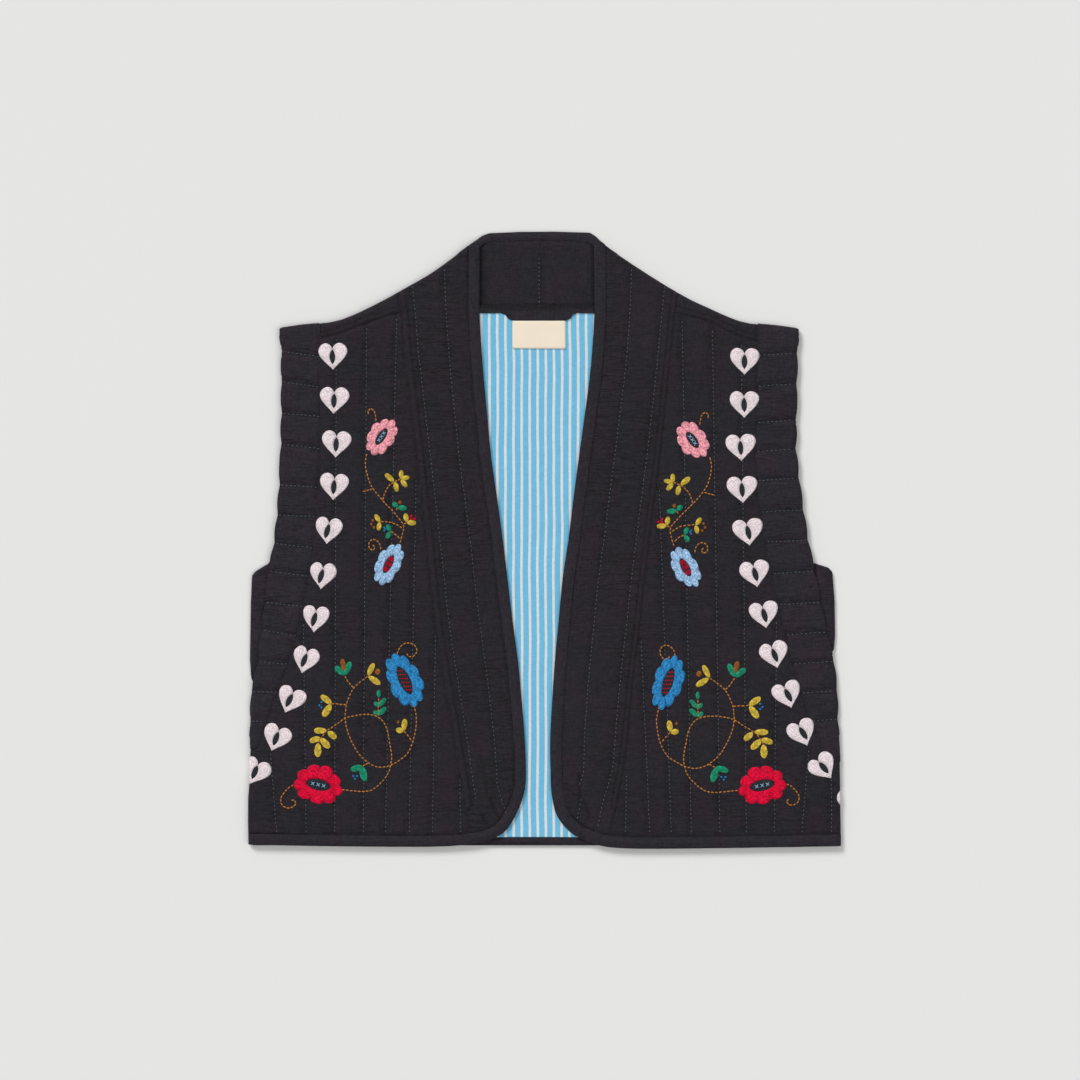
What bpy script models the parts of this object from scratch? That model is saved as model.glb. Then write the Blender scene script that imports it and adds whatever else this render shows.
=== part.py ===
"""Open-front quilted vest laid flat, neck towards +Y and hem towards -Y, in metres with +Z up.

Every cut piece of the vest is a thin wall of its own. Lengths in the tables are millimetres on the
laid-out plan, measured from the middle of the vest: x to the right, y towards the neck. Each wall is
a flat mesh on its plan outline that is extruded once, and then its two skins get their heights.
"""
import bmesh
import bpy
from mathutils import Vector
from mathutils.geometry import intersect_line_line_2d, intersect_point_line

MM = 0.001

# Walls and layers, from the surface that the vest lies on upwards.
SEAM_GAP = 0.3
BACK_WALL = 2.4
LINING_LOW = 2.7
LINING_WALL = 1.0
FRONT_LOW = 4.0
FRONT_WALL = 2.7
BINDING_WALL = 3.4
BACK_BINDING_WALL = 3.6
BINDING_WIDTH = 10.0
NECK_WALL = 3.2
NECK_BINDING_RISE = 1.8
NECK_BINDING_REACH = 14.0
FACING_WALL = 1.0
LABEL_WALL = 0.8

# Relief of the quilting, the seams and the edges.
QUILT_DIP = 1.1
QUILT_REACH = 5.0
SEAM_DIP = 1.0
SEAM_REACH = 3.2
EDGE_DROP = 1.1
EDGE_RISE = 0.5
EDGE_REACH = 2.6
FOLD_REACH = 3.0
FOLD_MIDDLE = 3.0
FOLD_FOOT = 1.2
FOOT_END = 1.4
FOLD_END_LOW = 3.5
FOLD_END_WALL = 0.9
BILLOW = 1.8
BILLOW_REACH = 70.0
PLEAT_RISE = 1.4
PLEAT_REACH = 5.0
BACK_INSET = 3.6

# Mesh lines that round a rim, and the rows of cuts across a front.
RIM = 1.2
RIM_INNER = 3.0
FULL_WIDTH = 12.0
ROW_STEP = 48.0
CUT_SNAP = 0.35
SHORTEST = 4.0

# One row for each level of a front: level, x of the opening edge, x of the band seam.
FRONT_ROWS = {
    "left": (
        (208.0, -60.0, -132.0),
        (174.5, -58.0, -129.0),
        (148.5, -56.0, -126.0),
        (111.5, -52.5, -121.5),
        (74.5, -49.0, -117.0),
        (37.0, -43.5, -113.0),
        (0.0, -38.5, -109.0),
        (-37.0, -34.0, -105.0),
        (-74.5, -29.5, -101.0),
        (-111.5, -24.5, -95.5),
        (-148.5, -21.0, -89.0),
        (-186.0, -18.0, -82.5),
        (-213.5, -17.0, -78.0),
    ),
    "right": (
        (208.0, 47.0, 121.5),
        (174.5, 45.0, 118.0),
        (148.5, 42.5, 115.5),
        (111.5, 37.5, 111.5),
        (74.5, 32.5, 107.5),
        (37.0, 27.5, 102.5),
        (0.0, 23.0, 98.0),
        (-37.0, 17.5, 93.5),
        (-74.5, 14.0, 89.5),
        (-111.5, 10.5, 85.0),
        (-148.5, 8.0, 81.0),
        (-186.0, 6.0, 77.5),
        (-213.5, 6.5, 74.0),
    ),
}

# The neck end of the opening edge, then its lower corner and the hem out to the side: x, y.
OPENING_TOP = {
    "left": ((-60.0, 270.5), (-60.0, 240.0)),
    "right": ((46.5, 270.5), (47.0, 240.0)),
}
OPENING_CORNER = {
    "left": ((-18.0, -232.0), (-23.5, -249.0), (-32.0, -265.0), (-40.5, -273.5), (-54.5, -279.5),
             (-76.5, -283.0), (-111.0, -284.5), (-192.0, -284.0), (-280.0, -282.5)),
    "right": ((7.0, -232.0), (10.5, -251.0), (16.5, -262.0), (24.5, -270.5), (34.0, -276.5),
              (51.5, -283.0), (72.0, -285.5), (110.0, -286.0), (192.0, -285.0), (281.0, -283.5)),
}
# The ends of the band seam, past the shoulder fold and into the hem: x, y.
BAND_SEAM_TOP = {
    "left": ((-136.0, 240.0), (-134.5, 222.0)),
    "right": ((125.5, 240.0), (123.5, 222.0)),
}
BAND_SEAM_FOOT = {
    "left": ((-72.5, -245.5), (-67.0, -280.0)),
    "right": ((67.5, -245.5), (59.0, -284.0)),
}

# One row for each line of quilting across an armhole panel: level and x at the seam with the
# front, then level and x at the armhole edge.
ARMHOLE_ROWS = {
    "left": (
        (170.0, -208.5, 175.0, -243.0),
        (142.0, -208.7, 146.5, -243.0),
        (114.5, -207.8, 117.5, -243.0),
        (84.5, -207.5, 89.0, -243.5),
        (49.0, -210.0, 51.0, -245.0),
        (22.0, -212.0, 23.0, -247.0),
        (-7.5, -214.5, -3.0, -250.0),
        (-33.5, -218.5, -29.0, -255.0),
        (-61.5, -223.5, -58.0, -258.5),
        (-89.0, -229.5, -83.5, -261.0),
        (-115.0, -237.5, -113.0, -265.0),
        (-141.0, -247.0, -140.5, -271.0),
        (-168.0, -256.8, -168.0, -272.3),
    ),
    "right": (
        (171.0, 198.0, 173.5, 234.0),
        (142.5, 197.5, 145.0, 233.5),
        (109.0, 197.0, 111.5, 233.0),
        (82.0, 196.3, 84.5, 232.8),
        (55.0, 197.5, 57.5, 235.5),
        (26.0, 200.5, 28.0, 239.5),
        (-2.0, 205.5, 0.0, 244.0),
        (-31.0, 211.5, -29.0, 250.0),
        (-60.0, 217.3, -57.5, 255.5),
        (-88.0, 223.5, -85.5, 261.3),
        (-115.0, 230.5, -112.5, 268.0),
        (-142.0, 238.2, -139.5, 271.2),
        (-168.0, 247.5, -166.0, 271.8),
    ),
}
# The two ends of the armhole panel's seam and edge: x, y.
ARMHOLE_TOP = {
    "left": ((-207.5, 206.0), (-245.5, 200.0)),
    "right": ((198.5, 206.0), (236.0, 200.0)),
}
ARMHOLE_FOOT = {
    "left": ((-265.6, -194.0), (-272.2, -194.0)),
    "right": ((265.6, -206.0), (274.0, -206.0)),
}
# The quilting row, counted from the shoulder, where the armhole edge turns into the side fold.
FOLD_ROW = {"left": 12, "right": 11}

# Silhouette folds of the laid vest, over the shoulder and down the side to the hem: x, y.
SHOULDER_FOLD = {
    "left": ((-248.0, 194.6), (-236.5, 198.0), (-199.5, 201.5), (-180.5, 207.0), (-162.0, 215.5),
             (-143.5, 225.0), (-125.0, 235.5), (-106.5, 246.0), (-88.0, 259.0), (-69.8, 272.6)),
    "right": ((239.0, 193.6), (228.0, 197.0), (191.0, 200.5), (172.5, 206.0), (153.5, 214.5),
              (135.0, 223.0), (116.5, 233.5), (98.0, 245.0), (79.5, 257.0), (56.3, 272.6)),
}
SIDE_FOLD = {
    "left": ((-273.0, -222.0), (-274.5, -240.0), (-274.5, -262.0), (-274.0, -290.0)),
    "right": ((274.5, -228.0), (274.7, -249.0), (275.0, -265.0), (275.0, -290.0)),
}
SHOULDER_SEAM = {
    "left": ((-215.0, 183.5), (-207.5, 186.5), (-187.0, 191.8), (-165.0, 201.0), (-134.0, 211.0),
             (-126.0, 213.5)),
    "right": ((205.0, 180.0), (198.5, 183.0), (177.0, 189.5), (154.5, 201.5), (123.0, 210.5),
              (115.0, 213.0)),
}

# Quilting down a front, one row for each line: x and y where it starts, x at its foot.
FRONT_QUILTING = {
    "left": (
        (-254.0, -197.0, -248.5),
        (-223.5, -77.0, -221.0),
        (-193.0, 187.5, -194.5),
        (-165.0, 200.5, -168.0),
        (-137.0, 210.0, -147.5),
        (-119.0, 56.5, -125.5),
        (-101.0, -87.5, -104.0),
        (-78.5, -221.0, -78.0),
    ),
    "right": (
        (266.0, -221.0, 266.0),
        (245.0, -194.0, 238.5),
        (215.0, -75.0, 213.0),
        (182.5, 182.0, 187.0),
        (155.5, 198.0, 162.5),
        (127.5, 208.0, 136.0),
        (106.5, 47.5, 117.5),
        (89.5, -93.0, 97.5),
    ),
}
QUILTING_FOOT = -273.0
# The two lines of quilting along a band, as parts of its width from the seam.
BAND_QUILTING = (0.2, 0.66)
BAND_HEAD_LEVELS = (240.0, 224.0)
BAND_FOOT_LEVELS = (-232.0, -250.0)

# The back of the neck, its binding, the facing and the label: x, y.
NECK_OUTER = ((-69.5, 273.6), (-64.5, 277.0), (-57.0, 282.3), (-50.5, 284.6), (-20.0, 285.8),
              (10.0, 286.0), (42.5, 285.0), (47.5, 282.0), (52.0, 277.6), (56.8, 273.8))
NECK_INNER = ((-59.8, 271.4), (-57.0, 274.0), (-52.5, 275.8), (-47.0, 276.6), (-20.0, 277.0),
              (10.0, 277.2), (36.0, 276.7), (41.5, 275.6), (44.5, 273.8), (46.6, 271.4))
NECK_BAND_FOOT = 215.7
NECK_BAND_ENDS = {"left": -100.0, "right": 90.0}
NECK_CENTRE_SEAM = ((1.0, 285.0), (1.0, 205.0))
FACING = ((-58.0, 215.0), (-58.0, 210.2), (-38.0, 210.4), (-34.5, 209.0), (-31.5, 204.8),
          (-28.0, 203.6), (18.5, 203.4), (22.0, 204.8), (25.0, 209.0), (28.5, 210.4), (44.0, 210.2),
          (44.0, 215.0))
LABEL = ((-29.3, 203.1), (-29.3, 177.8), (19.8, 177.3), (19.8, 203.1))

# The lining that shows between the fronts, one row for each level: level, x left, x right.
LINING_ROWS = (
    (215.2, -80.0, 66.0),
    (111.5, -78.0, 62.0),
    (0.0, -64.0, 48.0),
    (-111.5, -50.0, 36.0),
    (-213.0, -44.0, 32.0),
    (-250.0, -52.0, 42.0),
    (-275.4, -68.0, 62.0),
)

# The back's hem: the levels of its binding and the x of its two ends.
BACK_HEM_FOOT = -283.2
BACK_HEM_HEAD = -275.7
BACK_HEM_ENDS = (-270.0, 271.0)

# The part of the back's armhole panel that shows past the front's edge: x, y.
BACK_ARMHOLE_SHOWS = {
    "left": ((-256.5, -22.5), (-268.0, -29.5), (-271.0, -33.5), (-272.0, -56.0), (-273.0, -111.0),
             (-271.8, -128.0), (-269.8, -133.0)),
    "right": ((249.5, -21.5), (264.0, -26.0), (267.5, -30.0), (269.5, -56.0), (270.0, -88.0),
              (269.2, -101.0), (266.5, -106.0)),
}
BACK_ARMHOLE_TUCK = 2.0
BACK_ARMHOLE_TUCK_FOOT = -15.0
BACK_ARMHOLE_FOOT = -186.0

# Surface of each cloth: base colour and roughness.
CHARCOAL_QUILT = ("charcoal quilted cotton", (0.024, 0.021, 0.025), 0.9)
CHARCOAL_BINDING = ("charcoal cotton binding", (0.021, 0.019, 0.023), 0.88)
BLUE_LINING = ("light blue striped cotton lining", (0.21, 0.50, 0.72), 0.85)
CREAM_LABEL = ("cream cotton label tape", (0.88, 0.77, 0.64), 0.8)

SIDES = ("left", "right")
NEAR_RIM = ((0.0, 0.0), (0.0, RIM), (0.0, RIM_INNER))
FAR_RIM = ((1.0, -RIM_INNER), (1.0, -RIM), (1.0, 0.0))


def path(points):
    """The given points as vectors, joined by straight stretches."""
    return [Vector(point) for point in points]


def smooth_path(points):
    """A smooth curve through the given points, with one more point in each span."""
    line = []
    last = len(points) - 1
    for index in range(last):
        before = Vector(points[max(index - 1, 0)])
        start = Vector(points[index])
        end = Vector(points[index + 1])
        after = Vector(points[min(index + 2, last)])
        bulge = (start - before) + (end - after)
        line += [start, (start + end) / 2 + bulge / 16]
    line.append(Vector(points[last]))
    return line


def at(line, place):
    """The point at a place on a line, whose own points are at the whole numbers."""
    index = min(max(int(place), 0), len(line) - 2)
    return line[index].lerp(line[index + 1], place - index)


def stretch(line, first, last):
    """The stretch of a line between two places, run backwards where the last comes first."""
    low, high = sorted((first, last))
    start = at(line, low)
    end = at(line, high)
    inner = [line[index] for index in range(len(line)) if low < index < high]
    inner = [point for point in inner if min((point - start).length, (point - end).length) > SHORTEST]
    part = [start, *inner, end]
    return part if first <= last else part[::-1]


def along(line, share):
    """The point at a share of a line's length."""
    lengths = [(b - a).length for a, b in zip(line, line[1:])]
    left = share * sum(lengths)
    for index, length in enumerate(lengths[:-1]):
        if left <= length:
            return line[index].lerp(line[index + 1], left / length)
        left -= length
    return line[-2].lerp(line[-1], left / lengths[-1])


def meet(line_a, line_b):
    """The places on two lines where they first cross."""
    for i, (a, b) in enumerate(zip(line_a, line_a[1:])):
        for j, (c, d) in enumerate(zip(line_b, line_b[1:])):
            point = intersect_line_line_2d(a, b, c, d)
            if point:
                return i + (point - a).length / (b - a).length, j + (point - c).length / (d - c).length
    raise ValueError("two seams of the plan don't meet")


def place_at_level(line, level):
    """The place on a line that runs down the plan where it passes a level."""
    for index, (a, b) in enumerate(zip(line, line[1:])):
        if a.y >= level >= b.y:
            return index + (a.y - level) / (a.y - b.y)
    raise ValueError("the line doesn't reach that level")


def distance(point, lines):
    """Shortest distance in plan from a point to any of the lines."""
    nearest = float("inf")
    for line in lines:
        for a, b in zip(line, line[1:]):
            share = intersect_point_line(point, a, b)[1]
            nearest = min(nearest, (point - a.lerp(b, min(max(share, 0.0), 1.0))).length)
    return nearest


def near(length, reach):
    """1 on a line, falling smoothly to 0 at its reach."""
    share = min(max(1 - length / reach, 0.0), 1.0)
    return share * share * (3 - 2 * share)


def shifted(line, amount):
    """A line moved to the left of its own course."""
    moved = []
    for index, point in enumerate(line):
        course = (line[min(index + 1, len(line) - 1)] - line[max(index - 1, 0)]).normalized()
        moved.append(point + Vector((-course.y, course.x)) * amount)
    return moved


class Plan:
    """The seams, edges and folds of one side of the laid-out vest."""

    def __init__(self, side):
        self.side = side
        self.inward = 1.0 if side == "left" else -1.0
        opening = [(x, level) for level, x, _ in FRONT_ROWS[side]]
        seam = [(x, level) for level, _, x in FRONT_ROWS[side]]
        self.opening = smooth_path([*OPENING_TOP[side], *opening, *OPENING_CORNER[side]])
        self.binding_inner = shifted(self.opening, -self.inward * BINDING_WIDTH)
        self.band_seam = smooth_path([*BAND_SEAM_TOP[side], *seam, *BAND_SEAM_FOOT[side]])
        self.shoulder_fold = smooth_path(SHOULDER_FOLD[side])
        self.shoulder_seam = path(SHOULDER_SEAM[side])
        rows = ARMHOLE_ROWS[side]
        seam_top, edge_top = ARMHOLE_TOP[side]
        seam_foot, edge_foot = ARMHOLE_FOOT[side]
        self.arm_seam = path([seam_top, *((row[1], row[0]) for row in rows), seam_foot])
        self.arm_edge = path([edge_top, *((row[3], row[2]) for row in rows), edge_foot])
        turn = FOLD_ROW[side]
        self.free_arm_edge = self.arm_edge[:turn + 1]
        self.side_fold = self.arm_edge[turn:] + path(SIDE_FOLD[side])
        self.folds = [self.shoulder_fold, self.side_fold]
        self.front_rim = [self.opening, self.side_fold, self.arm_edge, self.shoulder_fold]

    def billow(self, point):
        """How far the front rises off the back, away from all of its edges."""
        return BILLOW * (1 - near(distance(point, self.front_rim), BILLOW_REACH))

    def inside_fold(self, fold):
        """The line where the back's pieces stop, inside a fold of the front's pieces."""
        return shifted(fold, self.inward * BACK_INSET if fold is self.side_fold
                       else -self.inward * BACK_INSET)

    def band_quilting(self):
        """The lines of quilting down the band, bending at its rows."""
        levels = [*BAND_HEAD_LEVELS, *(row[0] for row in FRONT_ROWS[self.side]), *BAND_FOOT_LEVELS]
        lines = [[] for _ in BAND_QUILTING]
        for level in levels:
            seam = at(self.band_seam, place_at_level(self.band_seam, level))
            inner = at(self.binding_inner, place_at_level(self.binding_inner, level))
            for line, part in zip(lines, BAND_QUILTING):
                line.append(seam.lerp(inner, part))
        return lines

    def front_quilting(self):
        """The lines of quilting down the front panel."""
        return [path(((x, y), (foot, QUILTING_FOOT))) for x, y, foot in FRONT_QUILTING[self.side]]


def front_heights(plan, wall, seams=(), quilting=(), free=()):
    """The heights of both skins of a piece of the front, as a rule on plan points."""

    def heights(point):
        low = FRONT_LOW + plan.billow(point)
        high = low + wall
        edge = near(distance(point, free), EDGE_REACH)
        aside = distance(point, seams)
        high -= SEAM_DIP * near(aside, SEAM_REACH)
        high -= QUILT_DIP * near(distance(point, quilting), QUILT_REACH) * (1 - edge)
        high -= EDGE_DROP * edge
        low += EDGE_RISE * edge
        turn = distance(point, plan.folds)
        if turn < FOLD_REACH:
            round_share = (1 - (1 - turn / FOLD_REACH) ** 2) ** 0.5
            high = FOLD_MIDDLE + (high - FOLD_MIDDLE) * round_share
            low *= max(0.0, (turn - FOOT_END) / (FOLD_REACH - FOOT_END))
            low = max(low, FOLD_FOOT * (1 - turn / RIM))
            if aside < RIM_INNER + SEAM_GAP:
                low = max(low, FOLD_END_LOW)
                high = max(high, FOLD_END_LOW + FOLD_END_WALL)
        return low, high

    return heights


def flat_heights(low, wall, seams=(), free=()):
    """The heights of both skins of a piece that lies flat, with rounded free edges."""

    def heights(point):
        high = low + wall
        high -= SEAM_DIP * near(distance(point, seams), SEAM_REACH)
        high -= EDGE_DROP * near(distance(point, free), EDGE_REACH)
        return low, high

    return heights


def outline_mesh(outline, rings=(RIM, RIM_INNER)):
    """A flat mesh on a closed outline, with rings of edges inside it that round its rim."""
    mesh = bmesh.new()
    face = mesh.faces.new([mesh.verts.new((point.x, point.y, 0.0)) for point in outline])
    face.normal_update()
    if face.normal.z < 0:
        face.normal_flip()
    pull_in(mesh, SEAM_GAP / 2)
    reached = 0.0
    for ring in rings:
        bmesh.ops.inset_region(mesh, faces=[face], thickness=ring - reached,
                               use_even_offset=True, use_boundary=True)
        reached = ring
    return mesh


def cut(mesh, start, end, faces=None):
    """Cut a flat mesh, or only some of its faces, along the straight line through two points."""
    course = (end - start).normalized()
    faces = mesh.faces[:] if faces is None else faces
    edges = {edge for face in faces for edge in face.edges}
    verts = {vert for face in faces for vert in face.verts}
    bmesh.ops.bisect_plane(mesh, geom=[*verts, *edges, *faces], dist=CUT_SNAP,
                           plane_co=(start.x, start.y, 0.0), plane_no=(-course.y, course.x, 0.0))


def cut_quilting(mesh, lines):
    """Cut a flat mesh along lines of quilting and at both feet of the dip beside each.

    A line bends only where the mesh is already cut across.
    """
    for line in lines:
        for aside in (-QUILT_REACH, 0.0, QUILT_REACH):
            for index, (start, end) in enumerate(zip(line, line[1:])):
                top = start.y if index > 0 else float("inf")
                foot = end.y if index < len(line) - 2 else -float("inf")
                faces = [face for face in mesh.faces if foot < face.calc_center_median().y < top]
                shift = Vector((aside, 0.0))
                cut(mesh, start + shift, end + shift, faces)


def cut_rows(mesh, low, high):
    """Cut a flat mesh across at even steps between two levels."""
    count = round((high - low) / ROW_STEP)
    for index in range(1, count):
        level = low + (high - low) * index / count
        cut(mesh, Vector((0.0, level)), Vector((1.0, level)))


def strip_mesh(side_a, side_b, columns, start=None, finish=None):
    """A flat mesh of rows between two sides of equal count and, where they bend, two end curves.

    Each column is a part of the row's width and an offset in millimetres from there.
    """
    rows = len(side_a)
    mesh = bmesh.new()
    bmesh.ops.create_grid(mesh, x_segments=len(columns) - 1, y_segments=rows - 1, size=1.0)
    grid = sorted(mesh.verts, key=lambda vert: (round(vert.co.y, 5), round(vert.co.x, 5)))
    run = [0.0]
    for index in range(1, rows):
        step = (side_a[index] - side_a[index - 1]).length + (side_b[index] - side_b[index - 1]).length
        run.append(run[-1] + step)
    for row, (a, b) in enumerate(zip(side_a, side_b)):
        v = run[row] / run[-1]
        width = (b - a).length
        squeeze = min(1.0, width / FULL_WIDTH)
        for column, (part, offset) in enumerate(columns):
            u = part + offset * squeeze / width
            point = a.lerp(b, u)
            if start:
                point += (along(start, u) - start[0].lerp(start[-1], u)) * (1 - v)
            if finish:
                point += (along(finish, u) - finish[0].lerp(finish[-1], u)) * v
            grid[row * len(columns) + column].co = (point.x, point.y, 0.0)
    pull_in(mesh, SEAM_GAP / 2)
    return mesh


def pull_in(mesh, amount):
    """Move the border of a flat mesh inwards, which leaves the gap of a seam."""
    moves = {}
    for vert in mesh.verts:
        push = Vector((0.0, 0.0, 0.0))
        for edge in vert.link_edges:
            if edge.is_boundary:
                loop = edge.link_loops[0]
                course = loop.link_loop_next.vert.co - loop.vert.co
                turn = 1.0 if loop.face.normal.z > 0 else -1.0
                push += Vector((-course.y, course.x, 0.0)).normalized() * turn
        if push.length > 0:
            moves[vert] = push * (2 * amount / max(push.length_squared, 1.0))
    for vert, move in moves.items():
        vert.co += move


def with_end_rows(side_a, side_b, first=True, last=True):
    """The two sides of a strip with two rows more just inside the ends named."""
    sides = []
    for side in (side_a, side_b):
        side = list(side)
        if first:
            course = (side[1] - side[0]).normalized()
            side[1:1] = [side[0] + course * RIM, side[0] + course * RIM_INNER]
        if last:
            course = (side[-2] - side[-1]).normalized()
            side[-1:-1] = [side[-1] + course * RIM_INNER, side[-1] + course * RIM]
        sides.append(side)
    return sides


def sew(name, mesh, heights, cloth):
    """Raise a flat mesh to a closed wall with the given skins, as a named object."""
    bottom = mesh.verts[:]
    raised = bmesh.ops.extrude_face_region(mesh, geom=mesh.faces[:], use_keep_orig=True)
    top = [item for item in raised["geom"] if isinstance(item, bmesh.types.BMVert)]
    for skin, verts in enumerate((bottom, top)):
        for vert in verts:
            vert.co.z = heights(vert.co.xy)[skin]
    bmesh.ops.triangulate(mesh, faces=mesh.faces[:])
    bmesh.ops.recalc_face_normals(mesh, faces=mesh.faces[:])
    if mesh.calc_volume(signed=True) < 0:
        bmesh.ops.reverse_faces(mesh, faces=mesh.faces[:])
    bmesh.ops.scale(mesh, vec=(MM, MM, MM), verts=mesh.verts[:])
    data = bpy.data.meshes.new(name)
    mesh.to_mesh(data)
    mesh.free()
    data.shade_smooth()
    data.set_sharp_from_angle(angle=0.9)
    data.materials.append(cloth)
    piece = bpy.data.objects.new(name, data)
    bpy.context.scene.collection.objects.link(piece)
    return piece


def cloth_material(surface):
    """A Principled material for one cloth."""
    name, colour, roughness = surface
    material = bpy.data.materials.new(name)
    material.use_nodes = True
    shader = material.node_tree.nodes["Principled BSDF"]
    shader.inputs["Base Color"].default_value = (*colour, 1.0)
    shader.inputs["Roughness"].default_value = roughness
    shader.inputs["Metallic"].default_value = 0.0
    return material


def make_band(plan, cloth):
    """The plain border of a front, from the shoulder fold down to the bound corner."""
    seam_top, fold_out = meet(plan.band_seam, plan.shoulder_fold)
    seam_foot, hem = meet(plan.band_seam, plan.binding_inner)
    outline = stretch(plan.band_seam, seam_top, seam_foot)
    outline += stretch(plan.binding_inner, hem, 0)[1:]
    outline += stretch(plan.shoulder_fold, len(plan.shoulder_fold) - 1, fold_out)[1:-1]
    quilting = plan.band_quilting()
    mesh = outline_mesh(outline)
    for point in quilting[0]:
        cut(mesh, Vector((0.0, point.y)), Vector((1.0, point.y)))
    cut_quilting(mesh, quilting)
    heights = front_heights(plan, FRONT_WALL, [plan.band_seam, plan.binding_inner], quilting)
    return sew(f"front_band_{plan.side}", mesh, heights, cloth)


def make_front(plan, cloth):
    """The main panel of a front, from the shoulder seam to the hem binding."""
    shoulder_out, arm_top = meet(plan.shoulder_seam, plan.arm_seam)
    shoulder_in, band_top = meet(plan.shoulder_seam, plan.band_seam)
    band_foot, hem_in = meet(plan.band_seam, plan.binding_inner)
    hem_out, fold_foot = meet(plan.binding_inner, plan.side_fold)
    edge_foot = plan.side_fold.index(plan.arm_edge[-1])
    outline = stretch(plan.shoulder_seam, shoulder_out, shoulder_in)
    outline += stretch(plan.band_seam, band_top, band_foot)[1:]
    outline += stretch(plan.binding_inner, hem_in, hem_out)[1:]
    outline += stretch(plan.side_fold, fold_foot, edge_foot)[1:]
    outline += stretch(plan.arm_seam, len(plan.arm_seam) - 1, arm_top)[:-1]
    quilting = plan.front_quilting()
    mesh = outline_mesh(outline)
    cut_rows(mesh, plan.binding_inner[-1].y, plan.shoulder_seam[-1].y)
    cut_quilting(mesh, quilting)
    foot_seam = [plan.arm_seam[-1], plan.arm_edge[-1]]
    seams = [plan.shoulder_seam, plan.band_seam, plan.binding_inner, plan.arm_seam, foot_seam]
    return sew(f"front_{plan.side}", mesh, front_heights(plan, FRONT_WALL, seams, quilting), cloth)


def make_yoke(plan, cloth):
    """The strip of the back that rolls forward over the shoulder, down to the shoulder seam."""
    seam_out, arm_low = meet(plan.shoulder_seam, plan.arm_seam)
    seam_in, band_low = meet(plan.shoulder_seam, plan.band_seam)
    arm_high, fold_out = meet(plan.arm_seam, plan.shoulder_fold)
    band_high, fold_in = meet(plan.band_seam, plan.shoulder_fold)
    outline = stretch(plan.shoulder_seam, seam_out, seam_in)
    outline += stretch(plan.band_seam, band_low, band_high)[1:]
    outline += stretch(plan.shoulder_fold, fold_in, fold_out)[1:]
    outline += stretch(plan.arm_seam, arm_high, arm_low)[1:-1]
    mesh = outline_mesh(outline)
    for x, _ in SHOULDER_SEAM[plan.side]:
        cut(mesh, Vector((x, 0.0)), Vector((x, 1.0)))
    heights = front_heights(plan, FRONT_WALL, [plan.shoulder_seam, plan.arm_seam, plan.band_seam])
    return sew(f"shoulder_yoke_{plan.side}", mesh, heights, cloth)


def make_armhole_front(plan, cloth):
    """The cross-quilted panel along the armhole, on the front."""
    seam_top, fold_in = meet(plan.arm_seam, plan.shoulder_fold)
    edge_top, fold_out = meet(plan.arm_edge, plan.shoulder_fold)
    side_a = [at(plan.arm_seam, seam_top)]
    side_b = [at(plan.arm_edge, edge_top)]
    quilting = []
    for row in range(1, len(ARMHOLE_ROWS[plan.side]) + 1):
        for shift in (-QUILT_REACH, 0.0, QUILT_REACH):
            for line, side in ((plan.arm_seam, side_a), (plan.arm_edge, side_b)):
                span = (line[row + (shift > 0)] - line[row - (shift <= 0)]).length
                side.append(at(line, row + shift / span))
        quilting.append([plan.arm_seam[row], plan.arm_edge[row]])
    side_a.append(plan.arm_seam[-1])
    side_b.append(plan.arm_edge[-1])
    side_a, side_b = with_end_rows(side_a, side_b)
    top = stretch(plan.shoulder_fold, fold_in, fold_out)
    mesh = strip_mesh(side_a, side_b, [*NEAR_RIM, (0.5, 0.0), *FAR_RIM], top)
    foot_seam = [plan.arm_seam[-1], plan.arm_edge[-1]]
    heights = front_heights(plan, FRONT_WALL, [plan.arm_seam, foot_seam], quilting, [plan.free_arm_edge])
    return sew(f"armhole_front_{plan.side}", mesh, heights, cloth)


def make_binding_front(plan, cloth):
    """The binding down the opening edge, round the corner and along the hem to the side."""
    opening_end = meet(plan.opening, plan.side_fold)[0]
    inner_end = meet(plan.binding_inner, plan.side_fold)[0]
    side_a, side_b = with_end_rows(stretch(plan.opening, 0, opening_end),
                                   stretch(plan.binding_inner, 0, inner_end))
    columns = [(0.0, 0.0), (0.0, RIM), (0.5, 0.0), (1.0, -RIM), (1.0, 0.0)]
    mesh = strip_mesh(side_a, side_b, columns)
    heights = front_heights(plan, BINDING_WALL, [plan.binding_inner], free=[plan.opening])
    return sew(f"binding_front_{plan.side}", mesh, heights, cloth)


def make_neck_band(plans, cloth):
    """The back of the neck: the band's inner face, with its centre seam."""
    outline = []
    for plan in plans:
        inside = plan.inside_fold(plan.shoulder_fold)
        end = NECK_BAND_ENDS[plan.side]
        edge = path(((end, NECK_BAND_FOOT), (end, 300.0)))
        side = [edge[0]] + stretch(inside, meet(inside, edge)[0], len(inside) - 2)
        outline += side if plan.side == "left" else path(NECK_INNER) + side[::-1]
    mesh = outline_mesh(outline)
    cut(mesh, *path(NECK_CENTRE_SEAM))
    for x in (NECK_CENTRE_SEAM[0][0] - QUILT_REACH, NECK_CENTRE_SEAM[0][0] + QUILT_REACH):
        cut(mesh, Vector((x, 0.0)), Vector((x, 1.0)))
    foot = path(((NECK_BAND_ENDS["left"], NECK_BAND_FOOT), (NECK_BAND_ENDS["right"], NECK_BAND_FOOT)))
    seams = [foot, path(NECK_INNER), path(NECK_CENTRE_SEAM)]
    return sew("neck_band", mesh, flat_heights(0.0, NECK_WALL, seams), cloth)


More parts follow.
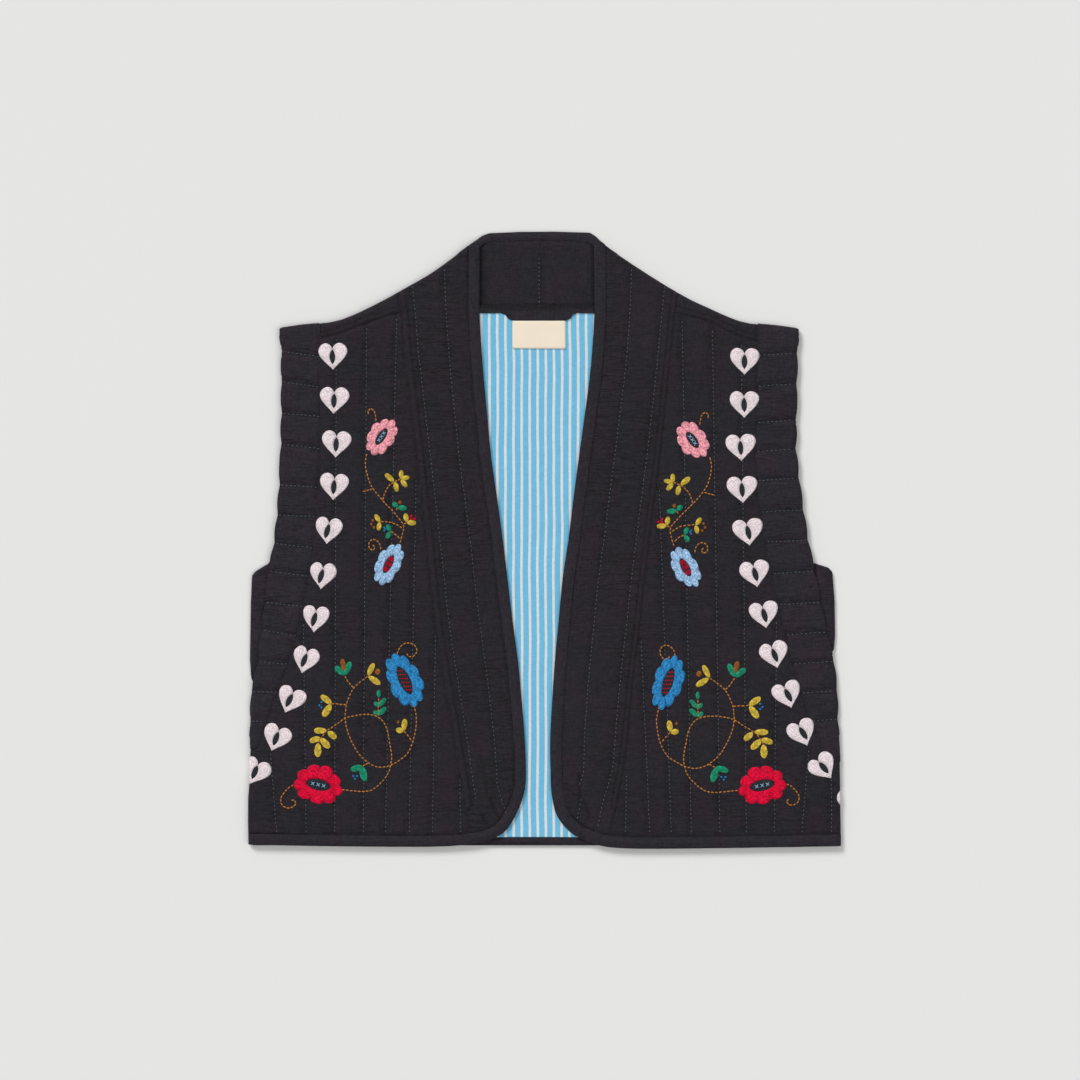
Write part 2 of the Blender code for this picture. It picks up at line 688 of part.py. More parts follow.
def make_neck_binding(cloth):
    """The binding over the back of the neck, which climbs at both ends to meet the fronts'."""
    side_a, side_b = with_end_rows(path(NECK_OUTER), path(NECK_INNER))
    ends = [[side_a[0], side_b[0]], [side_a[-1], side_b[-1]]]
    mesh = strip_mesh(side_a, side_b, [(0.0, 0.0), (0.0, RIM), (0.5, 0.0), (1.0, -RIM), (1.0, 0.0)])
    flat = flat_heights(0.0, NECK_WALL, free=[path(NECK_OUTER), path(NECK_INNER)])

    def heights(point):
        low, high = flat(point)
        return low, high + NECK_BINDING_RISE * near(distance(point, ends), NECK_BINDING_REACH)

    return sew("binding_neck", mesh, heights, cloth)


def make_back(plans, cloth):
    """The back panel, flat on the surface below everything."""
    outline = []
    for plan in plans:
        shoulder = plan.inside_fold(plan.shoulder_fold)
        side = plan.inside_fold(plan.side_fold)
        neck_end = NECK_BAND_ENDS[plan.side] - plan.inward * SEAM_GAP
        neck_edge = path(((neck_end, NECK_BAND_FOOT - SEAM_GAP), (neck_end, 300.0)))
        neck_place, shoulder_in = meet(neck_edge, shoulder)
        shoulder_out, arm_top = meet(shoulder, plan.arm_seam)
        arm_foot = place_at_level(plan.arm_seam, BACK_ARMHOLE_FOOT)
        half = [neck_edge[0]] + stretch(shoulder, shoulder_in, shoulder_out)
        half += stretch(plan.arm_seam, arm_top, arm_foot)[1:]
        half += stretch(side, place_at_level(side, BACK_ARMHOLE_FOOT), place_at_level(side, BACK_HEM_HEAD))
        outline += half if plan.side == "left" else half[::-1]
    return sew("back", outline_mesh(outline, ()), flat_heights(0.0, BACK_WALL), cloth)


def make_armhole_back(plan, cloth):
    """The armhole panel on the back, with the pleat that shows past the front's edge."""
    shoulder = plan.inside_fold(plan.shoulder_fold)
    side = plan.inside_fold(plan.side_fold)
    tucked = shifted(plan.arm_edge, plan.inward * BACK_ARMHOLE_TUCK)
    shoulder_in, arm_top = meet(shoulder, plan.arm_seam)
    shoulder_out, tuck_top = meet(shoulder, tucked)
    arm_foot = place_at_level(plan.arm_seam, BACK_ARMHOLE_FOOT)
    shows = path(BACK_ARMHOLE_SHOWS[plan.side])
    outline = stretch(shoulder, shoulder_in, shoulder_out)
    outline += stretch(tucked, tuck_top, place_at_level(tucked, BACK_ARMHOLE_TUCK_FOOT))[1:]
    outline += shows
    outline += stretch(side, 0, place_at_level(side, BACK_ARMHOLE_FOOT))
    outline += stretch(plan.arm_seam, arm_foot, arm_top)[:-1]
    mesh = outline_mesh(outline)
    cut_rows(mesh, BACK_ARMHOLE_FOOT, outline[0].y)
    flat = flat_heights(0.0, BACK_WALL, free=[shows, tucked])

    def heights(point):
        low, high = flat(point)
        edge = at(plan.arm_edge, place_at_level(plan.arm_edge, point.y))
        past = max(0.0, (edge.x - point.x) * plan.inward)
        return low, high + PLEAT_RISE * (1 - near(past, PLEAT_REACH))

    return sew(f"armhole_back_{plan.side}", mesh, heights, cloth)


def make_lining(cloth):
    """The striped lining of the back, where it shows between the fronts."""
    left = path([(x, level) for level, x, _ in LINING_ROWS])
    right = path([(x, level) for level, _, x in LINING_ROWS])
    side_a, side_b = with_end_rows(left, right)
    mesh = strip_mesh(side_a, side_b, [*NEAR_RIM, (0.5, 0.0), *FAR_RIM])
    return sew("back_lining", mesh, flat_heights(LINING_LOW, LINING_WALL), cloth)


def make_facing(cloth):
    """The facing below the back of the neck, with the tongue that the label hangs from."""
    outline = path(FACING)
    mesh = outline_mesh(outline, (RIM,))
    return sew("neck_facing", mesh, flat_heights(FRONT_LOW, FACING_WALL), cloth)


def make_label(cloth):
    """The bare label on the lining."""
    return sew("label", outline_mesh(path(LABEL), (RIM,)), flat_heights(FRONT_LOW, LABEL_WALL), cloth)


def make_back_hem(cloth):
    """The binding along the back's hem, which shows between the rounded corners of the fronts."""
    left, right = BACK_HEM_ENDS
    count = 8
    columns = [(0.0, 0.0), (0.0, RIM), (0.5, 0.0), (1.0, -RIM), (1.0, 0.0)]
    side_a = [Vector((left + (right - left) * step / count, BACK_HEM_FOOT)) for step in range(count + 1)]
    side_b = [Vector((point.x, BACK_HEM_HEAD)) for point in side_a]
    mesh = strip_mesh(side_a, side_b, columns)
    heights = flat_heights(0.0, BACK_BINDING_WALL, free=[side_a, side_b])
    return sew("binding_back_hem", mesh, heights, cloth)


def centre(pieces):
    """Move every piece alike, so that the vest is centred on the origin and lies at height 0."""
    corners = [vert.co for piece in pieces for vert in piece.data.vertices]
    low = Vector([min(corner[axis] for corner in corners) for axis in range(3)])
    high = Vector([max(corner[axis] for corner in corners) for axis in range(3)])
    middle = (low + high) / 2
    for piece in pieces:
        for vert in piece.data.vertices:
            vert.co -= Vector((middle.x, middle.y, low.z))


def main():
    """Clear the file and make every piece of the vest."""
    for thing in list(bpy.data.objects):
        bpy.data.objects.remove(thing, do_unlink=True)
    quilt = cloth_material(CHARCOAL_QUILT)
    binding = cloth_material(CHARCOAL_BINDING)
    lining = cloth_material(BLUE_LINING)
    label = cloth_material(CREAM_LABEL)
    plans = [Plan(side) for side in SIDES]
    pieces = [make_back(plans, quilt), make_neck_band(plans, quilt), make_neck_binding(binding),
              make_back_hem(binding), make_lining(lining), make_facing(binding), make_label(label)]
    for plan in plans:
        pieces += [make_front(plan, quilt), make_band(plan, quilt), make_yoke(plan, quilt),
                   make_armhole_front(plan, quilt), make_armhole_back(plan, quilt),
                   make_binding_front(plan, binding)]
    centre(pieces)


main()
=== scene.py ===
"""Quilted vest laid flat: cloth, quilting, lining and label, embroidery and stage.

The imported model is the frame. Each piece of cloth starts as a copy of its own solid, is cut fine
and gets its soft relief, and the stitching then lies on that relief. Lengths in the tables are
millimetres on the plan of the laid-out vest: x to the right, y towards the neck.
"""
import math
import random
from functools import partial

import bmesh
import bpy
from bpy.props import FloatProperty, FloatVectorProperty, PointerProperty
from mathutils import Matrix, Vector, noise
from mathutils.bvhtree import BVHTree


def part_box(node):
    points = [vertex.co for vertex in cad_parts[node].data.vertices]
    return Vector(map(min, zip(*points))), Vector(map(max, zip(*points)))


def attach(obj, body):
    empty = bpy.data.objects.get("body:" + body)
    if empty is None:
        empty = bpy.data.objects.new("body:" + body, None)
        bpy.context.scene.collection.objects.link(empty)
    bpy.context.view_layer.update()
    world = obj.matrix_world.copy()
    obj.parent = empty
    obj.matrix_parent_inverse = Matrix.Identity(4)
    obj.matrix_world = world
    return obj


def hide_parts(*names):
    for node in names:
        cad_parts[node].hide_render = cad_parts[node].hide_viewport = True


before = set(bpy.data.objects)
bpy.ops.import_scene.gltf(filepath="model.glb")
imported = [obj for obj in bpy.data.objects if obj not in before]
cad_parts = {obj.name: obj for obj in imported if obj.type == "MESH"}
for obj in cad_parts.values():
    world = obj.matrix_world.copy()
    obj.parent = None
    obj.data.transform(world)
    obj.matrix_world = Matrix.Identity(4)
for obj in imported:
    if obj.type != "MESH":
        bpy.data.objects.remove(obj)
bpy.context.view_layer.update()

bl_info = {
    "name": "Quilted vest",
    "version": (1, 0, 0),
    "blender": (4, 5, 0),
    "location": "View3D > Sidebar > Vest",
    "description": "Dresses the laid-out quilted vest in cloth, stitching and embroidery",
    "category": "Add Mesh",
}

MM = 0.001
SIDES = ("left", "right")
INWARD = {"left": 1.0, "right": -1.0}
# Rays that look for the cloth start at this height in metres.
SKY = 0.05

# How each piece of cloth is made: its material, the steps that it is cut at in x and y, how much of
# the soft relief it gets, and how often it is smoothed.
CLOTH = {
    "back": ("quilt", (6, 6), 0, 0),
    "neck_band": ("neck", (2, 2), 1, 3),
    "binding_neck": ("binding", (1.6, 1.3), 0.6, 3),
    "binding_back_hem": ("binding", (3, 1.3), 0.6, 3),
    "back_lining": ("lining", (2.2, 3.2), 0.7, 3),
    "neck_facing": ("binding", (2, 1.5), 0.4, 3),
    "label": ("label", (2, 2), 0.4, 3),
}
SIDE_CLOTH = {
    "front": ("quilt", (2, 2.6), 1, 3),
    "front_band": ("quilt", (1.3, 2.4), 1, 3),
    "shoulder_yoke": ("quilt", (2, 2), 1, 3),
    "armhole_front": ("armhole", (2.4, 2), 1, 3),
    "armhole_back": ("armhole", (2.4, 3), 1, 3),
    "binding_front": ("binding", (1.5, 1.5), 0.6, 3),
}

# One row for each level of a front: level, x of the opening edge, x of the band seam.
FRONT_ROWS = {
    "left": (
        (252, -60, -118), (240, -60, -136), (208, -60, -132), (174.5, -58, -129),
        (148.5, -56, -126), (111.5, -52.5, -121.5), (74.5, -49, -117), (37, -43.5, -113),
        (0, -38.5, -109), (-37, -34, -105), (-74.5, -29.5, -101), (-111.5, -24.5, -95.5),
        (-148.5, -21, -89), (-186, -18, -82.5), (-213.5, -17, -78), (-245, -22, -72.5),
    ),
    "right": (
        (252, 47, 108), (240, 47, 125.5), (208, 47, 121.5), (174.5, 45, 118), (148.5, 42.5, 115.5),
        (111.5, 37.5, 111.5), (74.5, 32.5, 107.5), (37, 27.5, 102.5), (0, 23, 98),
        (-37, 17.5, 93.5), (-74.5, 14, 89.5), (-111.5, 10.5, 85), (-148.5, 8, 81), (-186, 6, 77.5),
        (-213.5, 6.5, 74), (-245, 9, 67.5),
    ),
}
# Above this level the shoulder cuts the seam short, so the quilting goes on past it.
SHOULDER_LEVEL = 250
SEAM_TOP = {"left": -137.5, "right": 127}
# The two lines of quilting along a band, as parts of its width from the seam, and their last
# points in place of the lowest row.
BAND_QUILTING = (0.2, 0.66)
BAND_QUILTING_FEET = {
    "left": (((-63.5, -241),), ((-43.5, -228), (-35.6, -254))),
    "right": (((54, -243), (49.5, -266)), ((31.8, -228),)),
}
# Past a crease the right band's second line goes on as a row of its own.
BAND_LAST_ROW = ((34.3, -239), (30, -259.5))
BINDING_WIDTH = 10
# Folded cloth of a seam: its width and the height of its soft ridge.
SEAM_RIDGE_WIDTH = 5
SEAM_RIDGE = 0.6

# Quilting down a front, one row for each line: x and y where it starts, x at its foot.
FRONT_QUILTING = {
    "left": (
        (-254, -197, -248.5), (-223.5, -77, -221), (-193, 187.5, -194.5), (-165, 197.5, -168),
        (-137, 206, -147.5), (-119, 56.5, -125.5), (-101, -87.5, -104), (-78.5, -221, -78),
    ),
    "right": (
        (266, -221, 266), (245, -194, 238.5), (215, -75, 213), (182.5, 182, 187),
        (155.5, 195, 162.5), (127.5, 204, 136), (106.5, 47.5, 117.5), (89.5, -93, 97.5),
        (76, -217, 75),
    ),
}
QUILTING_FOOT = -272

# One row for each line of quilting across an armhole panel: level and x at the seam with the
# front, then level and x at the armhole edge.
ARMHOLE_ROWS = {
    "left": (
        (170, -208.5, 175, -243), (142, -208.7, 146.5, -243), (114.5, -207.8, 117.5, -243),
        (84.5, -207.5, 89, -243.5), (49, -210, 51, -245), (22, -212, 23, -247),
        (-7.5, -214.5, -3, -250), (-33.5, -218.5, -29, -255), (-61.5, -223.5, -58, -258.5),
        (-89, -229.5, -83.5, -261), (-115, -237.5, -113, -265), (-141, -247, -140.5, -271),
        (-168, -256.8, -168, -272.3),
    ),
    "right": (
        (171, 198, 173.5, 234), (142.5, 197.5, 145, 233.5), (109, 197, 111.5, 233),
        (82, 196.3, 84.5, 232.8), (55, 197.5, 57.5, 235.5), (26, 200.5, 28, 239.5),
        (-2, 205.5, 0, 244), (-31, 211.5, -29, 250), (-60, 217.3, -57.5, 255.5),
        (-88, 223.5, -85.5, 261.3), (-115, 230.5, -112.5, 268), (-142, 238.2, -139.5, 271.2),
        (-168, 247.5, -166, 271.8),
    ),
}
NECK_QUILTING = ((-5, 263), (-5, 219))

# The seam where a shoulder yoke joins the front, one row for each point: x, y.
SHOULDER_SEAM = {
    "left": (
        (-215, 183.5), (-207.5, 186.5), (-187, 191.8), (-165, 201), (-134, 211), (-126, 213.5),
    ),
    "right": ((205, 180), (198.5, 183), (177, 189.5), (154.5, 201.5), (123, 210.5), (115, 213)),
}

# One row for each heart down a front: x and y of its middle, its turn in degrees, its width, and
# how far its slit lies to the side.
HEARTS = {
    "left": (
        (-196.5, 170.9, 2, 27, 0), (-195.1, 130.1, -2, 27.5, 0), (-193, 89.6, -3, 27.5, 0),
        (-195, 50.2, -4, 27, 0), (-200.2, 9.3, -7, 25.2, -1.6), (-205.8, -32.5, -6, 24.6, -2),
        (-212.3, -72.5, -6, 24.6, -2), (-221.6, -110.6, -14, 24.6, -1.4),
        (-235.5, -147.7, -21, 26, -1.2), (-248.5, -183, -20, 26.6, 0), (-268.2, -214.1, -24, 27, 0),
    ),
    "right": (
        (185.3, 166.3, 0, 27.4, 0), (184.9, 126.3, 1, 27.4, 0), (181.6, 86.4, 4, 28.4, 0),
        (182.9, 47.4, 4, 28.8, 0.4), (188.1, 7.9, 8, 28.6, 1), (194.6, -30.7, 11, 28, 1.2),
        (203, -68.7, 10, 27.2, 1.4), (212.3, -105.9, 15, 27, 1.4), (224.4, -143.1, 19, 27, 1.8),
        (238.3, -178.4, 23, 26.6, 2), (257.8, -210.4, 37, 26, 1), (285, -240.6, 23, 27, 0),
    ),
}
HEART_HEIGHT = 25
SLIT_WIDTH = 5
SLIT_HEIGHT = 13.2
# How far round its oval a flower's first petal starts.
PETAL_SHIFT = 0.5
# Stitching, drawn coarser than the real thread: width and height of a running stitch, width of a
# stem stitch, and how much of its pitch a stem stitch fills.
RUNNING_WIDTH = 0.55
RUNNING_HEIGHT = 0.28
STEM_WIDTH = 1.4
STEM_FILL = 0.92
# How finely the patches of embroidery are cut: round their outline, and from edge to edge.
HEART_CUTS = (64, 9)
SLIT_CUTS = (24, 3)
FLOWER_CUTS = (126, 10)
EYE_CUTS = 36
# A patch of embroidery: width of its rounded edge and how far that is sunk, height and pitch of
# its rows, where a crease between petals starts on the way out, and how deep it is in the patch,
# which also sets how dark its painted shade is.
PATCH_EDGE = 1.3
PATCH_SUNK = 0.12
ROW_HEIGHT = 0.14
ROW_PITCH = 1.9
CREASE_START = 0.3
CREASE_DEPTH = 0.7
# The stitches in a flower's eye: where they lie along its half length, and width and height of the
# stitches in a cross and in a block.
CROSS_PLACES = (-0.44, 0.0, 0.44)
CROSS_STITCH = (1.1, 0.8)
BLOCK_REACH = 0.86
BLOCK_SHIFTS = (-1.5, -0.5, 0.5, 1.5)
BLOCK_STITCH = (1.4, 0.9)

# The two sprigs of a front, drawn once from their own origin on the left front and mirrored on the
# right: x and y of the origin on each side, and how much wider and taller the right one is.
SPRIGS = {
    "upper": {"left": (-151, 95.7, 1, 1), "right": (138.5, 92.3, 1.08, 0.995)},
    "lower": {"left": (-129.6, -130.1, 1, 1), "right": (115.7, -131.9, 1.09, 0.99)},
}
# One row for each flower: sprig, colour, petals, the small stitches in its eye, half length and
# half width of the eye, then on each side x, y, half length, half width and turn in degrees.
FLOWERS = (
    (
        "upper", "pink", 9, "crosses", 8.8, 3.6,
        {"left": (0, 0, 18.8, 12.4, 56), "right": (1.3, 0.3, 18.8, 13.2, 126)},
    ),
    (
        "upper", "pale_blue", 9, "red_blocks", 9.2, 3.5,
        {"left": (6.5, -118, 20.8, 11.4, 63), "right": (7.4, -118.3, 20.3, 11.8, 119)},
    ),
    (
        "lower", "blue", 10, "red_rows", 13.8, 5,
        {"left": (0, 0, 26.5, 15.4, -65), "right": (1.2, 0, 26, 13.8, -108)},
    ),
    (
        "lower", "red", 9, "crosses", 11.6, 5.1,
        {"left": (-80, -96.5, 22.6, 18.2, -12), "right": (-78.8, -96.3, 22.2, 17.8, 12)},
    ),
)
# Leaves and buds of each sprig and colour, one row for each: x and y where it joins, x and y of its
# tip, width.
LEAVES = {
    "upper": {
        "yellow": (
            (11.5, -41.5, 3.5, -34.5, 4.6), (12.5, -42, 14.5, -51, 4.4), (18, -39, 18.5, -31, 4),
            (18, -39, 26, -37.5, 4), (18, -40, 23.5, -46.5, 4.2), (23.5, -79, 22, -71, 4.4),
            (23.5, -79.5, 32, -80, 4.6), (-1.5, -79, -6, -72, 4), (-1.5, -79, -3, -87, 4),
        ),
        "green": (
            (15, -65, 10, -61, 4.2), (15, -65.5, 23.5, -66.5, 4.6), (8, -88, 5.5, -81, 4),
            (8, -88, 4.5, -94.5, 4),
        ),
    },
    "lower": {
        "green": (
            (-56, 5, -64.5, 13, 5), (-55.5, 5, -50, 17.5, 5), (-24, -16, -24, -8.5, 3.4),
            (-24, -24, -28, -20, 3.6), (-24, -24, -17.5, -16.5, 4), (-24.5, -32, -28.5, -28, 3.8),
            (-24.5, -32, -17, -25, 4.4), (-39, -79.5, -50, -83, 5.4),
            (-40, -79.5, -36.5, -93.5, 6.2),
        ),
        "brown": ((-55.5, 8, -58, 20, 4.4),),
        "yellow": (
            (-34, 4.5, -28.5, 16, 4.8), (-33.5, 4, -22.5, -3.5, 5), (-67.5, -21.5, -77.5, -14, 5.4),
            (-68, -22, -75.5, -33.5, 5.8), (-72, -46.5, -84, -46.5, 5.2),
            (-71, -47, -63.5, -54, 5.2), (-78, -53, -88, -56.5, 5.2),
            (-78, -53.5, -69.5, -62.5, 5.8), (-80, -58, -80.5, -71, 6),
            (-1, -46.5, 0.5, -35.5, 4.8), (-1, -47, -8, -45.5, 4.8),
        ),
    },
}
# Knots of each sprig and colour, one row for each: radius, x and y.
KNOTS = {
    "upper": {
        "brown": ((1.7, 17, -61), (1.3, -8, -77.5), (1.3, -9.5, -81), (1.3, -7, -84)),
        "red": ((1.2, 27.5, -73.5), (1.2, 30.5, -76), (1.2, 27.5, -76.5)),
        "blue": ((0.9, 2.5, -84), (0.9, 3.5, -85.5), (0.9, 2.5, -87)),
    },
    "lower": {
        "brown": ((2.6, -25, 8), (1.4, -6, -38.5)),
        "blue": (
            (1, -77, -20), (1, -79, -23), (1, -77, -25), (1, -47.5, -88.5), (1, -44, -88.5),
            (1, -46, -91),
        ),
    },
}
# Width of one satin stitch across a leaf, drawn coarser than the real thread.
LEAF_STITCH = 1.5
# Stems of each sprig, as smooth curves through a few points: x, y.
STEMS = {
    "upper": (
        ((-5, 14), (-5.5, 19.5), (-7, 24.5), (-10, 26), (-12.5, 24), (-12, 20.5)),
        (
            (-13.5, -15.5), (-15, -23), (-14, -32.5), (-9.5, -45.5), (1, -59), (10, -68.5),
            (15.5, -75), (20.5, -82), (19.5, -90), (17, -99),
        ),
        ((-8.5, -48.5), (-17.5, -51)),
        ((1, -59), (4, -50), (9, -43.5), (18, -39)),
        ((19.5, -85), (11, -80), (-1, -78.5)),
        ((17, -94.5), (12.5, -90), (8, -88)),
        ((13.5, -68.5), (15, -65.5)),
        ((20.5, -81), (23.5, -79.5)),
        (
            (-0.5, -105), (-2, -98.5), (-6.5, -95), (-10.5, -96.5), (-12, -102), (-8.5, -105.5),
            (-6, -102.5), (-8.5, -100),
        ),
    ),
    "lower": (
        (
            (-7, 24), (-4.5, 30.5), (2, 35), (9.5, 32.5), (11.5, 26.5), (7.5, 22), (3, 22.5),
            (2, 25.5),
        ),
        (
            (8.5, -22), (11, -34.5), (10, -46.5), (7.5, -57.5), (2, -68.5), (-6.5, -75), (-14, -79),
            (-23, -80.5), (-32.5, -77), (-42, -68.5), (-49, -56.5), (-53.5, -44.5), (-55, -34.5),
            (-54, -23), (-52, -16.5), (-47.5, -7.5), (-42, -2), (-34, 4),
        ),
        (
            (-72, -46.5), (-62, -40), (-54, -34.5), (-39, -31.5), (-28, -32.5), (-20.5, -37),
            (-16, -46.5), (-14, -57.5), (-12, -69.5), (-13, -79), (-16, -87.5), (-22.5, -95.5),
            (-30.5, -101.5), (-40, -103), (-58.5, -101),
        ),
        (
            (-99, -96), (-103.5, -97), (-109.5, -101.5), (-114.5, -108.5), (-114, -115),
            (-108, -118.5), (-101.5, -116), (-101, -111.5), (-105.5, -111),
        ),
        ((-47, -7), (-51.5, -2.5), (-55.5, 4.5)),
        ((-53.5, -22.5), (-68, -21.5)),
        ((6.5, -56), (3, -51), (-1, -46.5)),
        ((-33.5, -76.5), (-39, -79.5)),
        ((-24.5, -33), (-24, -16)),
        ((-72, -46), (-75.5, -50.5), (-80, -58)),
    ),
}
# Curls that are smaller on the right front, in place of the stems with these numbers: x, y.
RIGHT_CURLS = {
    ("lower", 0): (
        (-5, 24), (-3.5, 30.5), (0.5, 34.5), (5, 34.5), (8, 30.5), (7.5, 25), (4, 21.5), (0.5, 22),
        (0, 25),
    ),
    ("lower", 3): (
        (-99, -95), (-103.5, -97), (-109, -103.5), (-110.5, -109.5), (-107.5, -114), (-102.5, -115),
        (-99.5, -112), (-101.5, -109),
    ),
}

# Soft folds laid on a piece, one row for each: x and y of both ends, half width, height.
FOLDS = {
    "front_left": (
        (-262, -104, -270, -172, 7, 0.9), (-258, -158, -236, -196, 6, -0.6),
        (-150, 176, -128, 60, 9, 0.7), (-176, -120, -150, -262, 12, 0.6),
        (-118, -60, -112, -170, 8, -0.5),
    ),
    "front_right": (
        (143, 170, 122, 66, 9, 0.6), (252, -120, 262, -190, 7, 0.8),
        (168, -110, 150, -250, 12, 0.6), (108, -40, 104, -160, 8, -0.5),
    ),
    "front_band_right": (
        (31.5, -226, 40, -262, 2, -0.7), (16, -212, 24, -250, 4, 0.7),
        (20, -238, 36, -244, 2.2, 0.7), (55, 150, 96, 140, 2.6, 0.6),
    ),
    "front_band_left": (
        (-60, -238, -44, -246, 2.2, 0.7), (-40, -222, -32, -238, 2.6, 0.7),
        (-70, -226, -54, -258, 3, 0.6), (-95, 120, -62, 112, 2.6, 0.6),
    ),
    "neck_band": (
        (34, 231, 60, 229, 3, -0.6), (-56, 262, -44, 246, 3.5, 0.5), (-30, 262, -24, 224, 4, 0.35),
        (22, 266, 26, 222, 5, 0.35),
    ),
    "back_lining": (
        (21, 192, 47, 204, 2.5, -0.5), (24, 184, 30, 120, 3, 0.4), (-34, 150, -22, 40, 8, 0.5),
        (6, 60, 0, -80, 9, 0.5), (-14, -60, -10, -230, 7, 0.45),
    ),
    "binding_neck": ((28, 284, 36, 278, 1.6, 0.4), (-50, 283, -42, 278, 1.6, 0.4)),
}
# Where a piece lies in the shade of a fold or a crease, one row for each: x and y of both ends,
# half width, depth from 0 to 1.
SHADES = {
    "neck_band": (
        (-59, 270, -59, 214, 4.5, 0.7), (46, 270, 46, 214, 3.5, 0.6),
        (-60, 216.5, -20, 214.5, 1.5, 0.9), (-20, 214.5, 10, 216, 1.5, 0.9),
        (10, 216, 48, 214.5, 1.5, 0.9), (27, 231.5, 48, 227, 1.2, 0.5),
    ),
    "neck_facing": ((-60, 215, 48, 215, 2, 0.9),),
    "front_band_right": (
        (31.5, -217, 32.5, -236, 1.2, 0.85), (36.5, -241.5, 41, -255, 1.1, 0.9),
        (41, -255, 37, -261, 1.1, 0.77), (18.5, -228, 32.5, -239, 1.4, 0.68),
        (24, -256, 44, -269.5, 1.3, 0.68),
    ),
    "front_band_left": (
        (-60, -198.5, -54, -222.5, 1.2, 0.68), (-54, -222.5, -54, -237, 1.2, 0.85),
        (-51, -239, -42.5, -257, 1.2, 0.85), (-59, -253.5, -51, -269, 1.3, 0.77),
        (-26, -209.5, -27, -233.5, 1.5, 0.68), (-42.5, -214, -27, -211.5, 1.2, 0.68),
        (-39, -220.5, -28, -219, 1.2, 0.59), (-36, -250, -42.5, -262, 1.1, 0.59),
    ),
}

# A line of quilting: depth and half width of its dip, height, reach and length of the puckers
# across it, and how strongly they are creased.
QUILTING_DIP = 0.45
QUILTING_DIP_WIDTH = 1.5
PUCKER_HEIGHT = 0.6
PUCKER_REACH = 9
PUCKER_LENGTH = 4.6
QUILTING_PUCKER = 0.85
# How dark the painted shade along a line of quilting is, and the half width of that shade.
QUILTING_SHADE = (0.25, 1.2)
# Waves of the whole cloth, wide ones and small ones between the puckers: height, and length in x
# and y. Where the creasing comes and goes has its own length in x and y.
WIDE_WAVE = (0.4, 46, 60)
SMALL_WAVE = (0.5, 20, 6)
CREASE_PATCH = (38, 52)
# The groove beside a seam's ridge: depth, half width, and how dark its painted shade is.
GROOVE = (0.6, 0.9, 0.72)
# How strongly each kind of piece creases away from its quilting, and so how much painted shade
# its creases get.
PUCKERS = {
    "front_band": 0.62,
    "front": 0.4,
    "armhole_front": 0.4,
    "armhole_back": 0.5,
    "shoulder_yoke": 0.25,
    "neck": 0.35,
    "binding_front": 0.2,
    "binding": 0.2,
}
# How far the shells swell sideways, so that sewn pieces meet.
SWELL = 0.35
# An edge sharper than this, in radians, is a rim, and how much painted shade a rim gets.
RIM_ANGLE = 0.8
RIM_PAINTED_SHADE = 0.42
# How many times further an armhole's edge swells between two lines of its quilting, and how far
# from a line it takes to swell.
SCALLOP = 3.4
SCALLOP_REACH = 7
# Tops drawn out to tuck under the piece above: how long a part of the piece moves, and how far.
BAND_TUCK = (9, 2.4)
FACING_TUCK = (3, 2.5)
FACING_WIDENING = 1.06
# Where the cloth folds round at the vest's sides. Sewing that goes past starts to bend before it,
# over a length, and stands out by as much as the cloth swells there.
FOLD_X = 274.6
BEND_BEFORE = 1.2
BEND_LENGTH = 2
BEND_OUT = 0.6
# Sewing lies on the highest cloth within its reach, or at a set height past an edge. It stays
# above a least height.
SEWING_REACH = 0.7
HEIGHT_PAST_EDGE = 4
LEAST_HEIGHT = 0.4

# The stripes of the lining: where one starts, how far apart they are and how wide.
STRIPE_START = 61
STRIPE_PITCH = 7.48
STRIPE_WIDTH = 2.3

# What the camera sees: the width of the view at the cloth and the plan point in its middle.
SENSOR = 36.0
VIEW_WIDTH = 1003.3
VIEW_CENTRE = (-4.2, 0.0)
# The soft lights: place, spread in degrees and share of the strength. The rest of the light comes
# from all round.
LIGHTS = {"key": ((-1.1, 1.5, 1.35), 22.0, 1.0), "fill": ((1.3, -0.9, 2.2), 50.0, 0.42)}
WORLD_LIGHT = 0.36
FLOOR_SIZE = 4.0

# Surface colours as sRGB hex values, and what each one colours. The panel changes them.
COLOURS = {
    "quilt": ("#231F25", "Quilted cloth of the fronts, bands and back"),
    "quilt_warm": ("#2B2129", "Reddish thread in the charcoal cloth"),
    "quilt_cool": ("#202327", "Greenish thread in the charcoal cloth"),
    "panel": ("#2A252C", "Quilted cloth of the armhole panels"),
    "binding": ("#28252C", "Bias binding and neck facing"),
    "lining": ("#6FB9DD", "Ground of the lining"),
    "stripe": ("#D8DEDD", "Stripes of the lining"),
    "label": ("#F3E6D3", "Tape of the label"),
    "running_thread": ("#64777A", "Running stitches of the quilting"),
    "stem": ("#BE7C36", "Stems of the sprigs"),
    "rose_white": ("#EBDDE1", "Hearts"),
    "slate": ("#2A3033", "Slits of the hearts and eyes of the flowers"),
    "pink": ("#FFA9B5", "Pink flowers"),
    "pale_blue": ("#A5CCF1", "Pale blue flowers and crosses"),
    "blue": ("#2F8CCB", "Blue flowers and knots"),
    "red": ("#E60038", "Red flowers, stitches and knots"),
    "yellow": ("#DFC046", "Yellow leaves"),
    "green": ("#1D9872", "Green leaves"),
    "brown": ("#9C5F22", "Brown buds and knots"),
    "floor": ("#E6E6E5", "Floor under the vest"),
}

materials = {}
surface = {}


def linear(code):
    """An sRGB hex value as a linear colour with alpha."""
    values = [int(code[place:place + 2], 16) / 255 for place in (1, 3, 5)]
    return (*(v / 12.92 if v <= 0.04045 else ((v + 0.055) / 1.055) ** 2.4 for v in values), 1.0)


def chosen(name):
    """One of the user's colours, linear, with alpha."""
    return tuple(getattr(bpy.context.scene.vest_colours, name))


